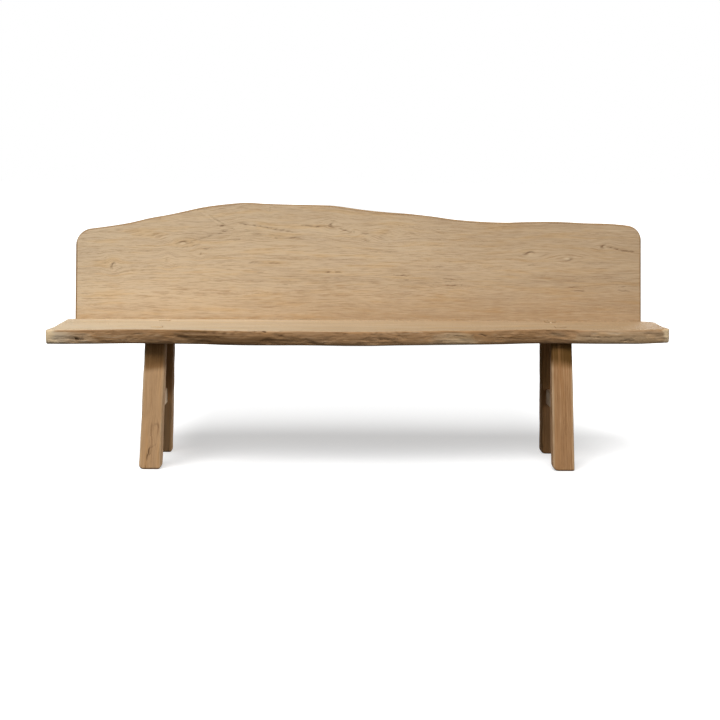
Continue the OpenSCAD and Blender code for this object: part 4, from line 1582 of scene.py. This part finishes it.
@dataclass
class Stretcher:
    """The bar between the front and the rear leg of one end, with stub tenons inside the legs.

    Attributes:
        tenon: Height, thickness and length of each stub tenon.
        root: How far inside the bar the tenons start.
        silver_and_light_left: How bleached the left bar is, and how much painted light its inner face gets;
            silver_and_light_right
        is for the right one.
        tone: How much lighter the bars are than the wood's own colours.
    """

    finish: Wood
    front: Leg
    rear: Leg
    seed: int
    height: float = 54 * MM
    thickness: float = 35 * MM
    ease: float = 4 * MM
    tenon: tuple[float, float, float] = (38 * MM, 18 * MM, 34 * MM)
    tenon_ease: float = 1.5 * MM
    root: float = 0.5 * MM
    silver_and_light_left: float = 1.15
    silver_and_light_right: float = 0.55
    tone: float = 0.1
    steps: int = 40
    side_points: int = 9

    @property
    def name(self) -> str:
        """The CAD node's name."""
        return f"stretcher_{self.front.side.name.lower()}"

    def outline(self, height: float, thickness: float, ease: float) -> tuple[Array, Array]:
        """A chamfered section round the bar's middle, as x and z."""
        half_h, half_t = height / 2, thickness / 2
        corners = [(-half_t, half_h - ease), (-half_t, ease - half_h), (ease - half_t, -half_h),
                   (half_t - ease, -half_h), (half_t, ease - half_h), (half_t, half_h - ease),
                   (half_t - ease, half_h), (ease - half_t, half_h)]  # fmt: skip
        points = []
        for start, end in zip(corners, corners[1:] + corners[:1]):
            share = np.linspace(0, 1, self.side_points)[:-1, None]
            points.append(np.array(start) + share * (np.array(end) - np.array(start)))
        x, z = np.concatenate(points).T
        return x, z

    def rings(self) -> Array:
        """The sections from the front tenon's end to the rear one's."""
        leg_z = self.front.peg_z
        x, z = self.outline(self.height, self.thickness, self.ease)
        share = np.linspace(0, 1, self.steps)[:, None]
        first, last = self.front.axis(leg_z)[0], self.rear.axis(leg_z)[0]
        middle = first + (last - first) * share
        start, end = self.front.facing(leg_z + z), self.rear.facing(leg_z + z)
        y = start + (end - start) * share
        rub = points_of(x / 0.02 + 0 * y, z / 0.03 + 0 * y, y / 0.09)
        shrink = 1 - np.maximum(0.02 * (1 + ripple(rub, self.seed)), 0)
        body = points_of(middle + x * shrink, y, leg_z + z * shrink)
        tx, tz = self.outline(self.tenon[0], self.tenon[1], self.tenon_ease)
        parts = []
        root, tip = -self.root, self.tenon[2]
        for leg, reaches in ((self.front, (tip, root)), (self.rear, (root, tip))):
            for reach in reaches:
                ty = leg.facing(leg_z) + leg.row.value * reach
                parts.append(points_of(leg.axis(leg_z)[0] + tx, ty + 0 * tx, leg_z + tz))
        return np.stack([parts[0], parts[1], *body, parts[2], parts[3]])

    def build(self) -> bpy.types.Object:
        """Makes the stretcher."""
        piece = skin(f"{self.name}_worn", self.rings())
        shade(piece)
        x, y, z = places(piece).T
        middle = self.front.axis(self.front.peg_z)[0]
        shift = 0.53 * self.seed
        bend = 0.002 * ripple(points_of(y / 0.2, z / 0.05), self.seed + 3)
        note(piece, "grain", y + shift, z + shift + bend, x - middle)
        note(piece, "marks", 0.0, 0.0, 0.0)
        # Partly bleached wood, partly painted light: the left bar is painted paler where its inner face is
        # lit.
        silver = self.silver_and_light_left if self.front.side is Side.LEFT else self.silver_and_light_right
        note(piece, "faces", 0.0, silver, self.tone)
        dress(piece, self.finish, "stretcher_wood", self.name)
        return piece


# Steel


@dataclass
class Screws:
    """A row of countersunk, slotted wood screws, made by one geometry tree.

    Attributes:
        point: Length of the point, in shank diameters.
        taper: Radius of the shank where the point starts, as a share; tip is for the point's end.
        sides: How many sides the round parts have.
    """

    finish: Finish
    head_d: float = 11 * MM
    shank_d: float = 5.5 * MM
    length: float = 34 * MM
    slot_w: float = 1.4 * MM
    point: float = 1.6
    taper: float = 0.86
    tip: float = 0.12
    sides: int = 32

    def tree(self) -> bpy.types.GeometryNodeTree:
        """The geometry tree: one screw with its head at the origin and its point up, at each place."""
        found = bpy.data.node_groups.get("wood_screws")
        if found is not None:
            return found
        tree = bpy.data.node_groups.new("wood_screws", "GeometryNodeTree")
        graph = Graph(tree)
        face = tree.interface
        face.new_socket("Places", in_out="INPUT", socket_type="NodeSocketGeometry")
        for name, size in (
            ("Head Diameter", self.head_d),
            ("Shank Diameter", self.shank_d),
            ("Length", self.length),
            ("Slot Width", self.slot_w),
        ):
            face.new_socket(name, in_out="INPUT", socket_type="NodeSocketFloat").default_value = size
        face.new_socket("Lean", in_out="INPUT", socket_type="NodeSocketVector")
        face.new_socket("Seed", in_out="INPUT", socket_type="NodeSocketInt")
        face.new_socket("Finish", in_out="INPUT", socket_type="NodeSocketMaterial")
        face.new_socket("Screws", in_out="OUTPUT", socket_type="NodeSocketGeometry")
        start = graph.node("NodeGroupInput")
        given = {socket.name: Link(graph, socket) for socket in start.outputs if socket.name}
        head_r, shank_r = given["Head Diameter"] * 0.5, given["Shank Diameter"] * 0.5
        head_h = head_r - shank_r
        head = self._cone(graph, head_r, shank_r, head_h, 0.0)
        point_l = given["Shank Diameter"] * self.point
        shank_l = given["Length"] - head_h - point_l
        shank = self._cone(graph, shank_r, shank_r * self.taper, shank_l, head_h)
        point_at = given["Length"] - point_l
        point = self._cone(graph, shank_r * self.taper, shank_r * self.tip, point_l, point_at)
        sizes = {0: given["Head Diameter"] * 2.0, 1: given["Slot Width"], 2: head_h}
        blade_size = graph.add("ShaderNodeCombineXYZ", None, sizes)
        blade = graph.add("GeometryNodeMeshCube", None, {"Size": blade_size}, "Mesh")
        slotted = graph.node("GeometryNodeMeshBoolean", {"operation": "DIFFERENCE"}, {0: head})
        tree.links.new(blade.socket, slotted.inputs[1])
        joined = graph.node("GeometryNodeJoinGeometry")
        for part in (Link(graph, slotted.outputs[0]), shank, point):
            tree.links.new(part.socket, joined.inputs[0])
        screw = Link(graph, joined.outputs[0])
        sockets = {"Points": given["Places"], "Instance": screw, "Rotation": given["Lean"]}
        placed = graph.add("GeometryNodeInstanceOnPoints", None, sockets)
        half_turn = {2: 0.0, 3: math.pi, 8: given["Seed"]}
        spin = graph.add("FunctionNodeRandomValue", {"data_type": "FLOAT"}, half_turn, 1)
        around = graph.add("ShaderNodeCombineXYZ", None, {2: spin})
        sockets = {"Instances": placed, "Rotation": around, "Local Space": True}
        turned = graph.add("GeometryNodeRotateInstances", None, sockets)
        real = graph.add("GeometryNodeRealizeInstances", None, {0: turned})
        dressed = graph.add("GeometryNodeSetMaterial", None, {"Geometry": real, "Material": given["Finish"]})
        graph.node("NodeGroupOutput", None, {0: dressed})
        return tree

    def _cone(self, graph: Graph, low: Link, high: Link, height: Value, rise: Value) -> Link:
        """A length of round steel from one radius to another, its lower end at a rise."""
        sockets = {"Vertices": self.sides, "Radius Bottom": low, "Radius Top": high, "Depth": height}
        cone = graph.add("GeometryNodeMeshCone", None, sockets, "Mesh")
        lift = graph.add("ShaderNodeCombineXYZ", None, {2: rise})
        return graph.add("GeometryNodeTransform", None, {"Geometry": cone, "Translation": lift})

    def build(self, name: str, spots: Array, lean: float, seed: int, node: str) -> bpy.types.Object:
        """Makes one row of screws.

        Args:
            name: The piece's name.
            spots: Where the heads' faces lie.
            lean: How far the screws turn about X from pointing up.
            seed: Chooses how the slots are turned.
            node: The CAD node that it stands for.

        Returns:
            The finished piece.
        """
        mesh = bpy.data.meshes.new(name)
        mesh.from_pydata(spots, [], [])
        piece = bpy.data.objects.new(name, mesh)
        bpy.context.scene.collection.objects.link(piece)
        tree = self.tree()
        tool = piece.modifiers.new("screws", "NODES")
        tool.node_group = tree
        keys = {item.name: item.identifier for item in tree.interface.items_tree if item.in_out == "INPUT"}
        tool[keys["Head Diameter"]] = self.head_d
        tool[keys["Shank Diameter"]] = self.shank_d
        tool[keys["Length"]] = self.length
        tool[keys["Slot Width"]] = self.slot_w
        tool[keys["Lean"]] = (lean, 0.0, 0.0)
        tool[keys["Seed"]] = seed
        tool[keys["Finish"]] = self.finish.material()
        settle_modifiers(piece)
        shade(piece, 30.0)
        dress(piece, self.finish, "screw_steel", node)
        return piece


@dataclass
class Fixings:
    """The steel behind the back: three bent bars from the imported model, and the screws in them.

    Attributes:
        bracket_x: How far the outer bars lie from the middle one.
        heel: How far the first screw of an arm lies from the bar's heel.
        last: How far the last one lies from the arm's end.
        under: Length of the arm under the seat; up is for the one behind the board.
        count: Screws in each arm.
        stagger: How far the screws step aside in turn.
    """

    layout: Layout
    paint: Finish
    plate: Finish
    bracket_x: float = 480.5 * MM
    bar_t: float = 6 * MM
    heel: float = 62 * MM
    last: float = 18 * MM
    under: float = 190 * MM
    up: float = 250 * MM
    count: int = 3
    stagger: float = 11 * MM

    def reach(self, length: float) -> Array:
        """Distances of the screws from the heel of an arm."""
        return self.heel + np.arange(self.count) * (length - self.last - self.heel) / (self.count - 1)

    def spots(self) -> tuple[Array, Array]:
        """Where the heads lie under the seat, and behind the board."""
        aside = self.stagger * np.where(np.arange(self.count) % 2 == 0, 1, -1)
        x = np.array([-self.bracket_x, 0.0, self.bracket_x])[:, None] + aside
        lay = self.layout
        low_y = lay.heel_y - self.reach(self.under) + 0 * x
        low = points_of(x + lay.shift, low_y, lay.seat_under - self.bar_t)
        high = lay.on_board(x, lay.board_t + self.bar_t, self.reach(self.up) - lay.board_below + 0 * x)
        return low.reshape(-1, 3), high.reshape(-1, 3)

    def build(self) -> None:
        """Dresses the bars and makes both rows of screws."""
        for end in ("left", "centre", "right"):
            repaint(f"bracket_{end}", self.paint)
        low, high = self.spots()
        screws = Screws(self.plate)
        screws.build("seat_screws_slotted", low, 0.0, 3, "seat_screws")
        lean = math.pi / 2 - self.layout.lean
        screws.build("back_screws_slotted", high, lean, 8, "back_screws")


def repaint(node: str, finish: Finish) -> None:
    """Gives a CAD node that stays a better material.

    Args:
        node: The node's name.
        finish: Its new finish.
    """
    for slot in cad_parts[node].material_slots:
        slot.material = finish.material()
    log.info("%s: kept, with %s", node, finish.name)


# Studio


@dataclass(frozen=True)
class Sun:
    """A soft light from far away.

    Attributes:
        strength: Its power.
        source: The direction that it comes from.
        soft: How wide it looks.
    """

    name: str
    strength: float
    source: tuple[float, float, float]
    soft: float

    def build(self, floor: bpy.types.Object, state: str) -> None:
        """Makes the light, which leaves the floor out or lights nothing else.

        Args:
            floor: The floor.
            state: "INCLUDE" to light the floor alone, "EXCLUDE" to light all but the floor.
        """
        light = bpy.data.lights.new(self.name, "SUN")
        light.energy = self.strength
        light.angle = self.soft
        lamp = bpy.data.objects.new(self.name, light)
        lamp.rotation_euler = Vector(self.source).to_track_quat("Z", "Y").to_euler()
        bpy.context.scene.collection.objects.link(lamp)
        lit = bpy.data.collections.new(f"{self.name}_lit")
        lit.objects.link(floor)
        lit.collection_objects[0].light_linking.link_state = state
        lamp.light_linking.receiver_collection = lit


@dataclass
class Studio:
    """The floor, the light and the camera."""

    camera_at: tuple[float, float, float] = (-0.0021, -6.1719, 1.0100)
    tilt: float = math.radians(6.256)
    roll: float = math.radians(0.25)
    focal_px: float = 1869.47
    image_px: float = 720.0
    sensor: float = 36.0
    floor_half: float = 60.0
    sky: float = 0.13
    key: Sun = Sun("key", 2.95, (-0.28, -0.45, 0.85), math.radians(24.0))
    fill: Sun = Sun("fill", 0.88, (0.88, -0.42, 0.22), math.radians(25.0))
    back: Sun = Sun("back", 0.9, (0.25, 0.93, 0.26), math.radians(30.0))
    floor_key: Sun = Sun("floor_key", 3.0, (-0.22, -0.65, 0.79), math.radians(43.0))

    def build(self) -> None:
        """Sets up everything that isn't part of the bench."""
        floor = self.floor()
        self.key.build(floor, "EXCLUDE")
        self.fill.build(floor, "EXCLUDE")
        self.back.build(floor, "EXCLUDE")
        self.floor_key.build(floor, "INCLUDE")
        self.sky_light()
        self.camera()
        bpy.context.scene.view_settings.view_transform = "Standard"

    def floor(self) -> bpy.types.Object:
        """A wide, plain floor."""
        half = self.floor_half
        mesh = bpy.data.meshes.new("floor")
        corners = [(-half, -half, 0), (half, -half, 0), (half, half, 0), (-half, half, 0)]
        mesh.from_pydata(corners, [], [(0, 1, 2, 3)])
        floor = bpy.data.objects.new("floor", mesh)
        bpy.context.scene.collection.objects.link(floor)
        mesh.materials.append(PaleFloor("pale_floor").material())
        return floor

    def sky_light(self) -> None:
        """A dim sky that shows white to the camera."""
        world = bpy.data.worlds.new("studio")
        world.use_nodes = True
        bpy.context.scene.world = world
        graph = Graph(world.node_tree)
        rays = graph.node("ShaderNodeLightPath")
        shown = Link(graph, rays.outputs["Is Camera Ray"])
        for name in ("Is Glossy Ray", "Is Transmission Ray"):
            shown = shown.larger(Link(graph, rays.outputs[name]))
        dim = graph.add("ShaderNodeBackground", None, {"Strength": self.sky, "Color": (1, 1, 1, 1)})
        white = graph.add("ShaderNodeBackground", None, {"Strength": 1.0, "Color": (1, 1, 1, 1)})
        mixed = graph.add("ShaderNodeMixShader", None, {0: shown, 1: dim, 2: white})
        graph.node("ShaderNodeOutputWorld", None, {"Surface": mixed})

    def camera(self) -> None:
        """The photograph's own view, from a camera fitted to it."""
        camera = bpy.data.cameras.new("camera")
        camera.sensor_fit = "HORIZONTAL"
        camera.sensor_width = self.sensor
        camera.lens = self.focal_px / self.image_px * self.sensor
        camera.clip_end = 200.0
        view = bpy.data.objects.new("camera", camera)
        aim = Matrix.Rotation(math.pi / 2 - self.tilt, 4, "X")
        view.matrix_world = Matrix.Translation(self.camera_at) @ aim @ Matrix.Rotation(self.roll, 4, "Z")
        bpy.context.scene.collection.objects.link(view)
        bpy.context.scene.camera = view


# The bench


@dataclass
class Bench:
    """The whole bench, piece by piece."""

    layout: Layout

    def legs(self, finish: Wood) -> dict[tuple[Side, Row], Leg]:
        """The four legs, with their own marks."""
        long_line = ((0.014, -0.012), (0.046, -0.012), (0.078, -0.006), (0.105, -0.002), (0.137, 0.0136))
        front_left = Figure(
            knots=(Knot((0.135, 0.016), (11 * MM, 9 * MM), dark=0.4, pale=0.0, facing=0.0),),
            scars=(
                *scars(1, (1.9, 2.2, 1, 0, ((0.0, -0.015), (0.03, -0.012), (0.058, -0.0055), (0.084, 0.0)))),
                *scars(31, (1.6, 0.8, 0.5, 0, long_line)),
                *scars(
                    33,
                    (1.6, 0.5, 0.4, 0, ((0.137, 0.0136), (0.141, 0.022), (0.130, 0.028))),
                    (2.2, 0, 0.3, 0, ((0.060, -0.012), (0.072, 0.004), (0.085, 0.022))),
                ),
            ),
        )
        streak = (1.5, 0.6, 0.35, 0, ((0.10, 0.010), (0.15, 0.007), (0.19, 0.008)))
        front_right = Figure(scars=scars(32, streak))
        made = (
            (Side.LEFT, Row.FRONT, front_left, (16 * MM, 9 * MM)),
            (Side.RIGHT, Row.FRONT, front_right, (17 * MM, 5 * MM)),
            (Side.LEFT, Row.REAR, Figure(), (6 * MM, 6 * MM)),
            (Side.RIGHT, Row.REAR, Figure(), (13 * MM, 6 * MM)),
        )
        return {
            (side, row): Leg(self.layout, finish, side, row, seed, figure, foot)
            for seed, (side, row, figure, foot) in enumerate(made, 1)
        }

    def build(self) -> None:
        """Makes every piece."""
        # The seat's silver colour also paints the light on the lower part of its live edge.
        seat_wood = Wood("seat_wood_worn", silver=(0.88, 0.665, 0.40), end=(0.325, 0.25, 0.167), calm=0.52)
        back_wood = Wood(
            "back_wood_worn",
            pale=(0.72, 0.555, 0.365),
            tan=(0.47, 0.32, 0.185),
            brown=(0.34, 0.195, 0.095),
            # On the board the flesh and bark colours paint the shade along its rounded arrises.
            flesh=(0.42, 0.27, 0.14),
            bark=(0.20, 0.11, 0.05),
            crack=(0.135, 0.062, 0.024),
            streak=0.46,
            dash=0.68,
            fine=1.2,
            cap=0.42,
        )
        leg_wood = Wood(
            "leg_wood_worn",
            pale=(0.60, 0.37, 0.19),
            tan=(0.37, 0.195, 0.085),
            brown=(0.24, 0.12, 0.048),
            # On the legs the flesh and bark colours paint the shade under the seat and at the foot.
            flesh=(0.355, 0.185, 0.075),
            bark=(0.115, 0.056, 0.014),
            end=(0.70, 0.56, 0.38),
            raw=1.5,
            fade=-0.4,
            patchy=0.35,
        )
        bar_wood = Wood(
            "stretcher_wood_worn",
            pale=(0.66, 0.50, 0.34),
            tan=(0.46, 0.32, 0.19),
            brown=(0.30, 0.18, 0.095),
            # The bars' silver colour also carries the painted light on the left bar.
            silver=(1.0, 0.76, 0.52),
        )
        legs = self.legs(leg_wood)
        for leg in legs.values():
            leg.build()
        Seat(self.layout, seat_wood).build([leg.mortise() for leg in legs.values()])
        Back(self.layout, back_wood).build()
        for seed, side in enumerate(Side):
            Stretcher(bar_wood, legs[side, Row.FRONT], legs[side, Row.REAR], seed + 5).build()
        wedge_wood = PlainWood("wedge_wood_cut", base=(0.68, 0.54, 0.36), dark=(0.56, 0.43, 0.28))
        dowel_wood = PlainWood("dowel_wood_turned", base=(0.62, 0.48, 0.31), dark=(0.4, 0.28, 0.16))
        repaint("leg_wedges", wedge_wood)
        repaint("stretcher_pegs", PlainWood("peg_wood_cut"))
        repaint("back_dowels", dowel_wood)
        Fixings(self.layout, PaintedSteel("bracket_paint"), ZincPlate("screw_zinc")).build()


def main() -> None:
    """Builds the bench and the studio round it."""
    logging.basicConfig(level=logging.INFO, format="%(message)s")
    Bench(Layout()).build()
    Studio().build()


if __name__ == "__main__":
    main()
